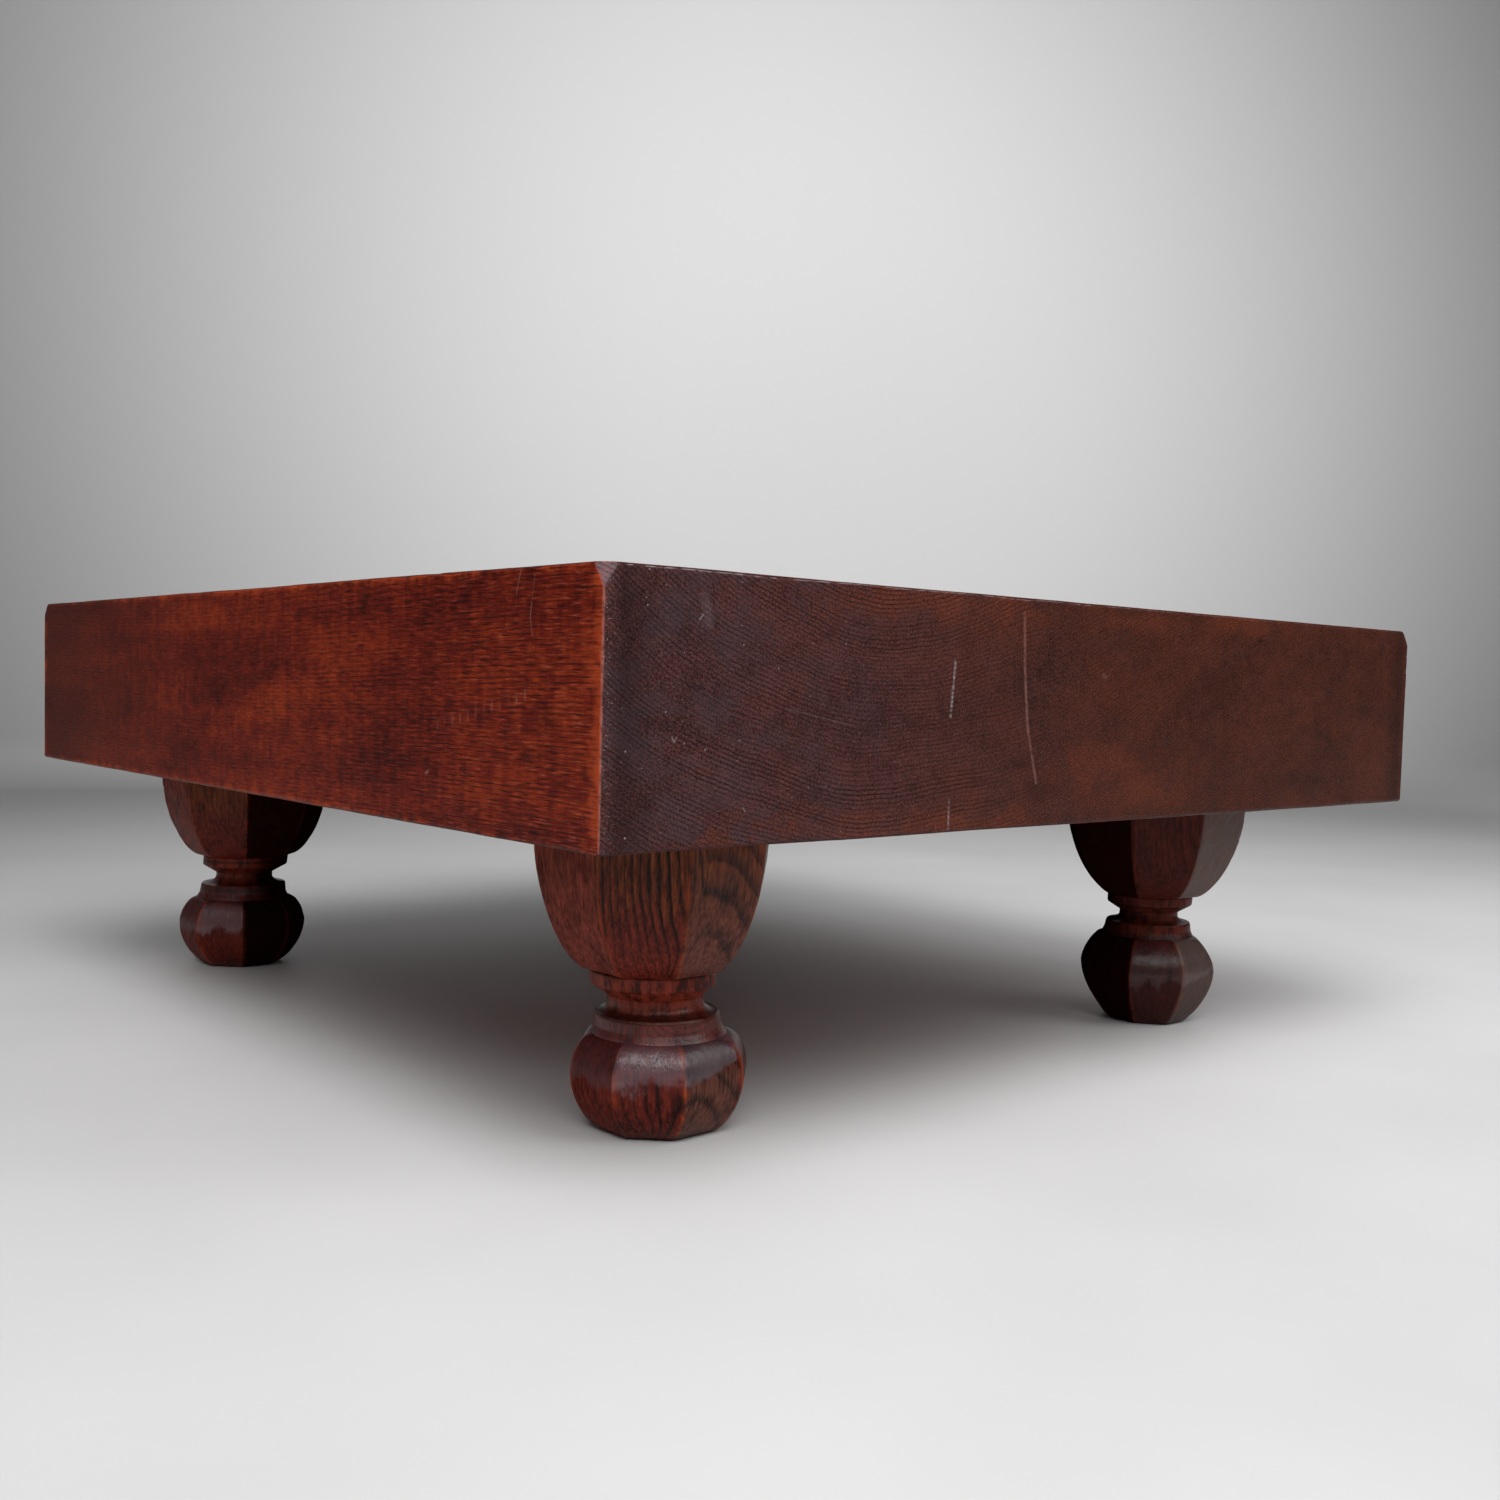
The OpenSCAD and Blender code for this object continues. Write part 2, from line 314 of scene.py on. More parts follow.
def star_dots(material):
    """The four dots: low domes, height times (1 - r^3.2), slightly out of round, each closed below."""
    rings = np.linspace(1, 0.04, 14)
    turn = np.arange(48) * TAU / 48
    rise = np.concatenate([[-LINE_SUNK], STAR_T * (1 - rings**3.2)])
    made = []
    for sx in (-1, 1):
        for sy in (-1, 1):
            round_off = 1 - 0.03 * (1 + np.sin(2 * turn + sx + 2 * sy))
            radius = np.concatenate([[1.0], rings])[:, None] * STAR_R * round_off
            x = sx * 1.5 * CELL_W + radius * np.cos(turn)
            y = sy * 1.5 * CELL_L + radius * np.sin(turn)
            z = np.repeat(TOP_Z + rise[:, None], len(turn), 1)
            made.append((np.stack([x, y, z], -1).reshape(-1, 3), tube_faces(len(rise), len(turn))))
    return make_mesh("star_dots", *joined(made), material, smooth_angle=50)


# ---- the legs

# Each leg was cut by hand. axis: its place; lift: how much higher its neck is; turn: of its flats, in
# degrees; cup_off and bulb_off: how far the carver strayed off the axis; top, foot and bulb: how far
# each of the eight flats stands out, of the cup at its top and at its foot, and of the bulb, from the
# +X one anticlockwise; rings and neck: how thick its turned rings and its neck came out; squat: how
# tall they are; swell: the two powers that round its bulb; sole: how wide its foot is; blank: the turn
# in degrees and the place in the tree of the piece of wood it was cut from; figure: how strongly its
# rings show; stain: how much more stain it took; grey: how strong a painted greyish sheen, a painted
# reflection, its front flat has.
LEGS = {
    "front_left_leg": dict(
        axis=(-110.5, -129), lift=0, turn=2, cup_off=(-1, 0.9), bulb_off=(0.4, -0.4),
        top=(0, 0, 0, 0, 0.2, 0.5, -0.2, 0), foot=(0, 0, 0, 0, -0.5, 0.5, 0.9, 0.3),
        bulb=(0, 0, 0, 0, 0, 0.2, 0.2, 1.1), rings=1, neck=1, squat=1, swell=(2, 0.78),
        sole=1, blank=(0, 0, 0), figure=1, stain=0, grey=0,
    ),
    "front_right_leg": dict(
        axis=(98.5, -129), lift=3, turn=-1.5, cup_off=(0.3, -0.2), bulb_off=(-0.2, 0.2),
        top=(0, 0, 0, -0.4, -0.6, 0, 0, 0), foot=(-1.4, -1.4, -1.4, -1.6, -1.7, -1.2, -1.2, -1.4),
        bulb=(0, 0, 0, 0, 0, 0, 0.3, 0.2), rings=0.89, neck=0.8, squat=0.86, swell=(1.75, 0.9),
        sole=0.88, blank=(6, -1, 3), figure=0.5, stain=0.55, grey=0.75,
    ),
    "back_left_leg": dict(
        axis=(-110.5, 129), lift=1.5, turn=1, cup_off=(1, -0.9), bulb_off=(0.2, 0),
        top=(0, 0, 0, 0, -0.5, 0, 0, 0), foot=(0, 0, 0, 0, 0, 0.2, 0, 0),
        bulb=(0, 0, 0, 0, 0.2, 0, 0.3, 0.3), rings=0.97, neck=0.84, squat=1, swell=(1.9, 0.8),
        sole=0.92, blank=(4, 0.3, 9), figure=0.25, stain=0.05, grey=0,
    ),
    "back_right_leg": dict(
        axis=(98.5, 129), lift=1, turn=-1, cup_off=(-0.3, 0.2), bulb_off=(0.2, 0.3),
        top=(0, 0.3, 0, 0, 0, 0, -0.2, 0), foot=(0.2, 0, 0.3, 0, 0, 0, 0, 0),
        bulb=(0, 0.2, 0, 0, 0, 0, 0, 0), rings=0.95, neck=0.9, squat=0.95, swell=(1.8, 0.82),
        sole=0.95, blank=(170, -2, 2), figure=0.7, stain=0.2, grey=0,
    ),
}
LEG_POINTS = 304  # points round a leg
RIDGE_W = 0.3  # how far from where two flats meet the ridge's wear reaches, mm


def rounded_path(corners, radius, steps=5):
    """A path of (radius, height) corners with each inner corner replaced by a small curve that starts
    and ends radius away from it, a quadratic through the corner's own neighbours."""
    corners = [np.array(c, float) for c in corners]
    made = [corners[0]]
    for before, here, after in zip(corners, corners[1:], corners[2:]):
        back, on = before - here, after - here
        lb, lo = np.linalg.norm(back), np.linalg.norm(on)
        a = here + back / lb * min(radius, lb * 0.45)
        b = here + on / lo * min(radius, lo * 0.45)
        for t in np.linspace(0, 1, steps):
            made.append((1 - t) ** 2 * a + 2 * t * (1 - t) * here + t * t * b)
    made.append(corners[-1])
    return np.array(made)


def finer(path, step):
    """The same path with extra points, so that none lie more than step apart."""
    made = [path[0]]
    for a, b in zip(path, path[1:]):
        n = max(1, int(math.ceil(np.linalg.norm(b - a) / step)))
        made += [a + (b - a) * k / n for k in range(1, n + 1)]
    return np.array(made)


def all_round(column):
    """One number to a row, repeated for every point round the leg."""
    return np.repeat(column[:, None], LEG_POINTS, 1)


def make_leg(name, leg, material):
    """One leg as a grid of turns round its axis by steps up its side, closed at the foot and at the
    tenon's end. The side goes through three kinds of stretch:
    - carved (bulb and cup): each flat i is a plane at half width a_i from the axis, so along angle q
      it is a_i / cos(q - q_i) away, and the surface is the nearest of the eight, corners softened;
      a for the cup is foot + (top - foot) (1 - (1 - t)^2)^fall, and for the bulb, from its waist,
      end + (widest - end) (1 - s^power)^fall
    - turned (band, cove, neck and collar): a profile of radius over height with softened corners
    - the tenon: a plain round pin with a chamfered end."""
    turn = np.arange(LEG_POINTS) * TAU / LEG_POINTS
    flats = np.arange(8) * TAU / 8 + math.radians(leg["turn"])
    squat = leg["squat"]
    cup_z = BULB_H + leg["lift"] + TURNED_H
    shoulder = cup_z - squat * TURNED_H
    waist = BULB_WAIST * shoulder / BULB_H
    neck_r = NECK_R * leg["neck"]
    rim_r, band_r, collar_r = (leg["rings"] * r for r in (RIM_R, BAND_R, COLLAR_R))
    power, fall = leg["swell"]

    def carved(half, offsets, width):
        """Radius for each row of half widths, with the flats' own offsets, and the ridges' places. A
        flat that faces away is taken as far off instead."""
        away = half[:, None] + offsets
        cosine = np.maximum(np.cos(turn[None, :] - flats[:, None]), 0.08)
        values = away[:, :, None] / cosine[None]
        two = np.sort(values, axis=1)[:, :2]
        return softest(values, width), np.exp(-(two[:, 1] - two[:, 0]) / RIDGE_W)

    # The bulb: rows from the foot's worn edge to the shoulder, which is domed down to the band
    low, high = [0.0, 0.12, 0.35, 0.7], shoulder - np.array([0.9, 0.6, 0.35, 0.15, 0.0])
    z = np.concatenate([low, np.linspace(1.1, shoulder - 1.2, 50), high])
    s = np.where(z < waist, 1 - z / waist, (z - waist) / (shoulder - waist))
    end = np.where(z < waist, FOOT_W * leg["sole"], 2 * band_r)
    half = (end + (BULB_W - end) * (1 - s**power) ** fall) / 2 - 0.9 * np.exp(-z / 0.35)
    radius, ridge = carved(half, np.array(leg["bulb"]) * np.ones((len(z), 8)), 0.28)
    dome = band_r + 3.4 * (np.clip(shoulder - z, 0, None) / 1.4) ** 0.62
    radius = softest(np.stack([radius, all_round(dome)], 1), 0.25)
    bulb = (z, radius, ridge)

    # The turned part: rows from the foot of the band to the collar's top, with worn crests
    rim = shoulder + squat * BAND_H
    bevel = rim + squat * COVE_H + squat * NECK_H
    wall = bevel + squat * COLLAR_BEVEL
    q = np.radians(np.arange(0, 91, 10))
    lip = rim_r - 1.0
    cove = np.stack([lip - (lip - neck_r) * np.sin(q), rim + squat * COVE_H * (1 - np.cos(q))], -1)
    band = [(band_r, shoulder + 0.02), (rim_r + 0.35, shoulder + 1.9), (rim_r, rim - 0.5)]
    collar = [(neck_r, bevel - 0.2), (neck_r, bevel), (collar_r - 0.1, wall), (collar_r, cup_z - 0.25)]
    band, collar = band + [(rim_r - 0.3, rim)], collar + [(collar_r - 0.25, cup_z - 0.02)]
    path = np.concatenate([rounded_path(band, 0.3), cove, rounded_path(collar, 0.35)[1:]])
    path = finer(path, 0.45)
    edges = np.array([shoulder + 0.3, rim - 0.4, cup_z - 0.2])
    crest = 0.6 * np.exp(-np.abs(path[:, 1:] - edges) / 0.3).max(1)
    turned = (path[:, 1], all_round(path[:, 0]), all_round(crest))

    # The cup: rows from the collar to the block
    t = np.concatenate([[0, 0.006, 0.016, 0.03], np.linspace(0.048, 1, 62)])
    cup_h = SEAT_Z - cup_z
    half = (CUP_FOOT_W + (CUP_W - CUP_FOOT_W) * (1 - (1 - t) ** 2) ** CUP_FALL) / 2
    offsets = np.array(leg["foot"]) * (1 - t[:, None]) ** 1.5 + np.array(leg["top"]) * t[:, None]
    cup = (cup_z + t * cup_h, *carved(half - 0.3 * np.exp(-t * cup_h / 0.25), offsets, 0.22))

    # The tenon up to near the axis, and the sole from near the axis to the foot's edge
    top = UNDERSIDE_Z + TENON_L
    pin = [(TENON_R, SEAT_Z + 0.01), (TENON_R, top - TENON_EDGE), (TENON_R - TENON_EDGE, top)]
    pin = finer(np.array(pin + [(0.02, top)]), 3.0)
    tenon = (pin[:, 1], all_round(pin[:, 0]), all_round(0 * pin[:, 0]))
    soles = np.array([0.002, 0.3, 0.6, 0.85])
    sole = (0 * soles, soles[:, None] * bulb[1][:1], all_round(0 * soles))

    parts = [sole, bulb, turned, cup, tenon]
    z, radius, ridge = (np.concatenate(rows) for rows in zip(*parts))
    kind = np.repeat(range(len(parts)), [len(p[0]) for p in parts])[:, None]
    is_bulb, is_turned, is_cup = kind < 2, kind == 2, kind == 3

    # The carver's strokes and the wear: shallow waves along the flats, dents and chipped edges
    height = all_round(z)
    where = np.stack([radius * np.cos(turn), radius * np.sin(turn), height], -1)
    seed = leg["axis"][0] * 0.7 + leg["axis"][1] * 1.3
    here = where + seed
    work = 0.16 * rough(where * [1, 1, 0.45] + seed, 6.5, 10) + 0.06 * rough(here, 2.6, 11)
    work += -0.28 * np.clip(rough(here, 4.2, 12) - 0.45, 0, 1)
    work += -1.1 * ridge * np.clip(rough(here, 2.4, 13) - 0.3, 0, 1)
    work = np.where(is_cup | is_bulb, work, 0.0)
    work += np.where(is_turned, 0.07 * rough(here, 5.0, 14), 0.0)
    inside = (height < 0.05) | (height > SEAT_Z - 0.4)
    radius = radius + np.where(inside, 0.0, work)

    # Cup and bulb were cut a little off the turned axis; the neck takes up the difference
    blend = np.clip((z - shoulder) / (cup_z - shoulder), 0, 1)[:, None]
    off = np.array(leg["bulb_off"]) * (1 - blend) + np.array(leg["cup_off"]) * blend
    off = np.where((z > SEAT_Z)[:, None], 0.0, off)
    x = radius * np.cos(turn) + off[:, :1]
    y = radius * np.sin(turn) + off[:, 1:]
    points = np.stack([x + leg["axis"][0], y + leg["axis"][1], height], -1).reshape(-1, 3)

    twist, bx, by = leg["blank"]
    c, d = math.cos(math.radians(twist)), math.sin(math.radians(twist))
    blank = np.stack([c * x - d * y + bx, d * x + c * y + by, height], -1).reshape(-1, 3)
    # recess: how deep a point lies in the turned groove, where the material paints shade
    recess = np.clip(1 - (radius - neck_r) / 4.0, 0, 1) * is_turned
    # inner: how far a point faces the middle of the board, where the material paints shade
    inward = -np.array(leg["axis"]) / np.linalg.norm(leg["axis"])
    # Each flat counts as one side; round the turned part the sides blend
    facing = np.stack([flats[0] + np.round((turn - flats[0]) / (TAU / 8)) * TAU / 8, turn])
    inner = np.cos(facing) * inward[0] + np.sin(facing) * inward[1]
    inner = np.clip((inner - [[0.1], [0.45]]) / 0.45, 0, 1)
    inner = np.where(is_turned, inner[1], inner[0])
    front_flat, left_flat = (
        np.where(is_turned, 0.0, np.clip((np.cos(facing[0] + away) - 0.8) / 0.1, 0, 1))
        for away in (TAU / 4, TAU / 2)
    )
    ones = np.ones_like(ridge)
    masks = (
        ridge * np.where(is_cup, 0.4, 1.0), recess, inner, is_turned * ones, leg["stain"] * ones,
        leg["figure"] * ones, leg["grey"] * front_flat, front_flat, left_flat,
    )
    masks = {key: values.ravel() for key, values in zip(LEG_MASKS, masks)}
    faces = tube_faces(len(z), LEG_POINTS)
    name = "carved_" + name
    return make_mesh(name, points, faces, material, smooth_angle=38, blank=blank, **masks)


# ---- materials

# Kinds of node that are used often, with their main option. In what follows t is a node tree.
PLUS, TIMES, TIMES_PLUS = "Math", ("Math", "MULTIPLY"), ("Math", "MULTIPLY_ADD")
MOST, LEAST, MINUS = ("Math", "MAXIMUM"), ("Math", "MINIMUM"), ("Math", "SUBTRACT")
TIMES_EACH, FROM, LENGTH, DISTANCE, SCALE = (
    ("VectorMath", choice) for choice in ("MULTIPLY", "SUBTRACT", "LENGTH", "DISTANCE", "SCALE")
)
MIX, RANGE, SOFT = "MixRGB", "MapRange", ("MapRange", "SMOOTHSTEP")


def new_material(name):
    """An empty node material and its tree."""
    made = bpy.data.materials.new(name)
    made.use_nodes = True
    made.node_tree.nodes.clear()
    return made, made.node_tree


def place_in_mm(tree):
    """Where a point of the object is, in mm, and which way its surface faces."""
    coordinates = add(tree, "TexCoord", out="Object")
    place = add(tree, SCALE, coordinates, s_Scale=1 / MM)
    return place, coordinates.node.outputs["Normal"]


def varnish(made, t, colour, gloss, depth, ior, shine):
    """Ends a material: a coat over the colour, with a relief whose depth is in mm."""
    relief = add(t, "Bump", s_Strength=1, s_Distance=MM, s_Height=depth)
    coat = dict(s_Roughness=gloss, s_IOR=ior, s_Normal=relief, s_Specular_IOR_Level=shine)
    add(t, "OutputMaterial", add(t, "BsdfPrincipled", colour, **coat))
    return made


def masked(t, value, *masks):
    """A value times each of several masks."""
    for mask in masks:
        value = add(t, TIMES, value, mask)
    return value


def held_back(t, value, *masks):
    """A value made less where masks are strong: times 1 - much x mask, for each (mask, much)."""
    rest = [add(t, TIMES_PLUS, mask, -much, 1) for mask, much in masks]
    return masked(t, value, *rest)


def weighted(t, total, *parts):
    """A total plus weight x pattern, for each (pattern, weight)."""
    for pattern, weight in parts:
        total = add(t, TIMES_PLUS, pattern, weight, total)
    return total


def strongest(t, first, *others):
    """The greatest of several values."""
    for other in others:
        first = add(t, MOST, first, other)
    return first


def layered(t, colour, *layers):
    """A colour with others laid over it, for each (how much, hex colour)."""
    for much, tint in layers:
        colour = add(t, MIX, much, colour, linear(tint))
    return colour


def window(t, value, rise, fall, most=1):
    """most between two places of a value and 0 outside, climbing over rise and sinking over fall."""
    up = add(t, RANGE, value, *rise, 0, most)
    return add(t, TIMES, up, add(t, RANGE, value, *fall, 1, 0))


def mark(t, place, start, end, width):
    """1 along a scratch between two points in mm and 0 beyond its width: the distance from a point
    to the nearest point of the segment, faded out."""
    start, end = Vector(start), Vector(end)
    along = end - start
    away = add(t, FROM, place, start)
    share = along / along.length_squared
    share = add(t, "VectorMath", away, share, operation="DOT_PRODUCT", out=1)
    share = add(t, TIMES, share, 1, use_clamp=True)
    near = add(t, SCALE, along, s_Scale=share)
    off = add(t, DISTANCE, away, near, out=1)
    return add(t, SOFT, off, width * 0.2, width * 0.75, 1, 0)


def stretched(t, place, size, detail=2, roughness=0.5):
    """A cloudy pattern whose blotches are size (x, y, z) mm."""
    q = add(t, TIMES_EACH, place, [1 / v for v in size])
    return add(t, "TexNoise", q, s_Scale=1, s_Detail=detail, s_Roughness=roughness)


def pores(t, place, size, narrow, wide):
    """Dark pores: 1 in the middle of cells of size (x, y, z) mm and 0 between them."""
    q = add(t, TIMES_EACH, place, [1 / v for v in size])
    near = add(t, "TexVoronoi", q, s_Scale=1)
    return add(t, SOFT, near, narrow, wide, 1, 0)


def year_bands(t, ring, width, weakest, fall, rise):
    """The dark early wood of rings width mm apart, from a distance in mm: each band falls off over
    the first share fall of its year and begins again at rise, in some years weaker than in others."""
    count = add(t, TIMES, ring, 1 / width)
    share = add(t, "Math", count, operation="FRACT")
    year = add(t, "Math", count, operation="FLOOR")
    strong = add(t, "TexWhiteNoise", s_W=year, noise_dimensions="1D")
    strong = add(t, RANGE, strong, 0, 1, weakest, 1)
    band = add(t, SOFT, share, 0, fall, 1, 0)
    band = add(t, MOST, band, add(t, SOFT, share, rise, 1, 0, 1))
    return add(t, TIMES, band, strong)


def blots(t, place, across, table, ragged):
    """The strongest of several oval patches on a face square to the axis across: 1 times its strength
    in the middle, 0 beyond its half width and height, with a border made ragged."""
    made = []
    for u, v, wide, high, strength in table:
        middle, size = [u, 0, v], [1 / wide, 0, 1 / high]
        if across == 0:
            middle, size = [0, u, v], [0, 1 / wide, 1 / high]
        q = add(t, FROM, place, middle)
        q = add(t, TIMES_EACH, q, size)
        q = add(t, LENGTH, q, out=1)
        q = add(t, PLUS, q, ragged)
        made.append(add(t, SOFT, q, 0.85, 2, strength, 0))
    return strongest(t, *made)


def specks(t, flat, cell, most):
    """Dots of random size, up to most cells in radius, one to a cell, on a flat pattern in mm."""
    q = add(t, SCALE, flat, s_Scale=1 / cell)
    near = add(t, "TexVoronoi", q, s_Scale=1, voronoi_dimensions="2D")
    chance = add(t, "SeparateColor", near.node.outputs["Color"])
    size = add(t, RANGE, chance, 0.35, 1, 0, most)
    gap = add(t, MINUS, near, size)
    return add(t, RANGE, gap, -0.3 * most, 0, 1, 0)


LONG_DARK, LONG_MIDDLE, LONG_LIGHT = "#370a07", "#6b1d10", "#923415"
# The back's duller colour, partly tone and partly painted falloff of the light; worn orange; a painted
# glint; the deep pores
LONG_BACK_TONE_AND_SHADE, LONG_WORN, LONG_GLINT, LONG_DEEP = "#50221a", "#a8431f", "#b06a58", "#200402"
END_DARK, END_LIGHT, END_WORN, END_DEEP = "#1c0b0b", "#623b38", "#683c36", "#0c0404"
END_DARK_RIGHT, END_LIGHT_RIGHT = "#220d09", "#5c2c1d"
# The end grain's warm patches, its painted grey-lilac sheen and its painted shade near the upright
# edges
END_WARM, END_PAINTED_SHEEN, END_EDGE_SHADE = "#7a3820", "#463b43", "#150a0c"
# Pale dust, also used for a painted highlight; dark patches, also used for painted shade along the
# level edges; scraped lacquer; the painted highlight of the upright edges; the shaved corners
DUST_AND_HIGHLIGHT, DIRT_AND_EDGE_SHADE, SCRAPED, CREST_HIGHLIGHT, SHAVED = "#b5a9ad", "#1a0b09", "#96685f", "#a8645a", "#76666f"
# Patches of the front, warm and dark: the middle's x and z, the half width and height in mm, and how
# strong the patch is
FRONT_WARM = [
    (-69, 130, 44, 7, 0.5), (-90, 77, 66, 6, 0.5), (-6, 90, 22, 8, 0.4),
    (14, 83, 24, 7, 0.36), (66, 131, 26, 5, 0.5), (12, 128.5, 22, 3, 0.35),
]
FRONT_DARK = [
    (50, 112, 17, 11, 0.3), (72.5, 126.2, 1.6, 1.1, 0.75), (-38.5, 90.8, 3, 1.2, 0.5),
    (97, 84, 26, 6, 0.3), (-29, 84, 9, 3.5, 0.3),
]
# Dark spots of the left side: y, z and half widths, and how strong
SIDE_DARK = [(-164, 100.7, 5, 3.4, 0.6), (-157, 94, 8, 3, 0.45), (-176.6, 91.3, 2, 2, 0.6)]

# Dusty scratches, the long shallow scratch and the marks of the left side: two ends in mm, the width
# and, for the dusty ones, the strength
BEADED_MARKS = [
    ((-63.5, 116.3), (-64.7, 103), 0.85, 0.5), ((-64.3, 83), (-64.3, 76), 0.7, 0.36),
]
FINE_MARKS = [
    ((-142.3, 122.5), (-141.4, 123.6), 0.4, 0.32), ((-141.2, 127.2), (-139.6, 122.2), 2.6, 0.05),
    ((-148.8, 98.4), (-148.2, 97.5), 0.4, 0.4), ((-147.6, 98.4), (-148.2, 97.5), 0.35, 0.3),
    ((-129.4, 83.4), (-128.7, 82.6), 0.4, 0.35), ((-118, 104.5), (-97, 100.8), 0.35, 0.13),
    ((-84, 92.5), (-81.5, 92.2), 0.35, 0.22), ((-4.6, 114.2), (-3.4, 113.8), 1.3, 0.06),
]
LONG_SCRATCH, LONG_SCRATCH_W = [(-38.2, 129), (-37.3, 114.7), (-35.7, 101), (-31.5, 86.5)], 1.05
SIDE_MARKS = [
    ((-152, 132.3), (-150.3, 127.3), 0.45), ((-157.3, 131), (-156.3, 125.3), 0.35),
    ((-156.3, 125.3), (-155.8, 122), 0.5), ((-155.8, 122), (-156.8, 118.5), 0.45),
    ((-113.9, 87.7), (-112.9, 87.3), 0.8),
]
# The row of short chatter ticks on the left side: its ends, its width and the ticks' pitch
TICKS_FROM, TICKS_TO, TICKS_W, TICK_PITCH = (-155, 106.3), (-118, 98.3), 2.6, 3.3


def block_wood():
    """Old lacquer wiped thin over a ring-porous hardwood, close-grained: end grain front and back,
    soaked dark and purplish, and red long grain on the other sides, worn to orange along the edges."""
    made, t = new_material("wiped red lacquer on close-grained hardwood")
    place, facing = place_in_mm(t)
    x, y, z = add(t, "SeparateXYZ", place).node.outputs
    nx, ny, nz = add(t, "SeparateXYZ", facing).node.outputs
    sideways, endways, sloping = (add(t, "Math", n, operation="ABSOLUTE") for n in (nx, ny, nz))
    # 1 on end grain, on the front and on the left side
    end = add(t, SOFT, endways, 0.45, 0.75, 0, 1)
    front = add(t, "Math", y, -170, operation="LESS_THAN")
    left = add(t, "Math", x, -165, operation="LESS_THAN")

    # The tree's rings: circles round a pith 101 mm over the top face at x = -84, which straighten into
    # slopes right of x = -35, and which wander as they run back along the grain
    right = add(t, PLUS, x, 84)
    near = add(t, LEAST, right, 49)
    far = add(t, MOST, add(t, PLUS, right, -49), 0)
    down = add(t, TIMES_PLUS, z, -1, TOP_Z + 101)
    down = add(t, TIMES_PLUS, far, 0.38, down)
    ring = add(t, LENGTH, add(t, "CombineXYZ", near, down), out=1)
    wander, waver = stretched(t, place, (75, 380, 75), 1), stretched(t, place, (11, 120, 11))
    ring = weighted(t, ring, (wander, 12), (waver, 1.6))
    early = year_bands(t, ring, width=1.03, weakest=0.35, fall=0.42, rise=0.82)

    # Pores 0.1 mm wide are drawn 0.25 mm wide, so that they show; they lie less in rows on long grain
    hole = pores(t, place, (0.48, 6, 0.48), narrow=0.15, wide=0.5)
    rowed = add(t, TIMES_PLUS, end, 0.4, 0.45)
    loose = add(t, TIMES_PLUS, end, -0.4, 0.55)
    hole = add(t, TIMES, hole, add(t, TIMES_PLUS, early, rowed, loose))
    streak = stretched(t, place, (0.42, 5.5, 0.42), 3, 0.7)
    dots = stretched(t, place, (0.42, 9, 0.42), 2, 0.75)
    figure = stretched(t, place, (5, 120, 5), 3, 0.6)
    patch = stretched(t, place, (20, 34, 16), 3, 0.55)
    drift = stretched(t, place, (24, 75, 20), 3, 0.55)
    fleck = stretched(t, place, (2.5, 2.2, 13), 2, 0.6)
    mottle = stretched(t, place, (4.5, 6, 4.5), 4, 0.65)
    cloud = stretched(t, place, (14, 14, 9), 4, 0.65)
    cloud = add(t, SOFT, cloud, 0.4, 0.66, 0, 1)
    ragged = add(t, TIMES_PLUS, mottle, 1.2, add(t, TIMES, cloud, 0.7))

    # Long grain: from dark maroon through red to orange-red, plainer towards the back and duller
    # there, partly its own tone and partly a painted falloff of the light
    plain = add(t, SOFT, y, -150, 60, 0, 0.6)
    crisp = add(t, TIMES_PLUS, plain, -1.3, 1.3)
    tone = add(t, TIMES_PLUS, add(t, PLUS, streak, -0.5), crisp, 0.65)
    tone = weighted(t, tone, (figure, 0.35), (drift, 1.3), (fleck, 0.45), (mottle, 0.8))
    tone = add(t, RANGE, tone, 1.71, 2.45, 0, 1)
    side = add(t, "ValToRGB", tone)
    ramp = side.node.color_ramp.elements
    ramp[0].position, ramp[0].color = 0, linear(LONG_DARK)
    ramp[1].position, ramp[1].color = 1, linear(LONG_LIGHT)
    ramp.new(0.5).color = linear(LONG_MIDDLE)
    # Pale dashes on the highest fibres, a painted glint of the light, most of them near the corner
    glint = add(t, RANGE, streak, 0.56, 0.7, 0, 0.4)
    glint = add(t, TIMES, glint, add(t, RANGE, y, FRONT_Y, -100, 1, 0.25))
    # Duller towards the back: partly the wood's tone, partly painted falloff of the light
    back = add(t, SOFT, y, 0, -FRONT_Y, 0, 0.75)
    spots = add(t, TIMES, blots(t, place, 0, SIDE_DARK, ragged), left)
    side = layered(t, side, (glint, LONG_GLINT), (back, LONG_BACK_TONE_AND_SHADE), (spots, LONG_DARK))

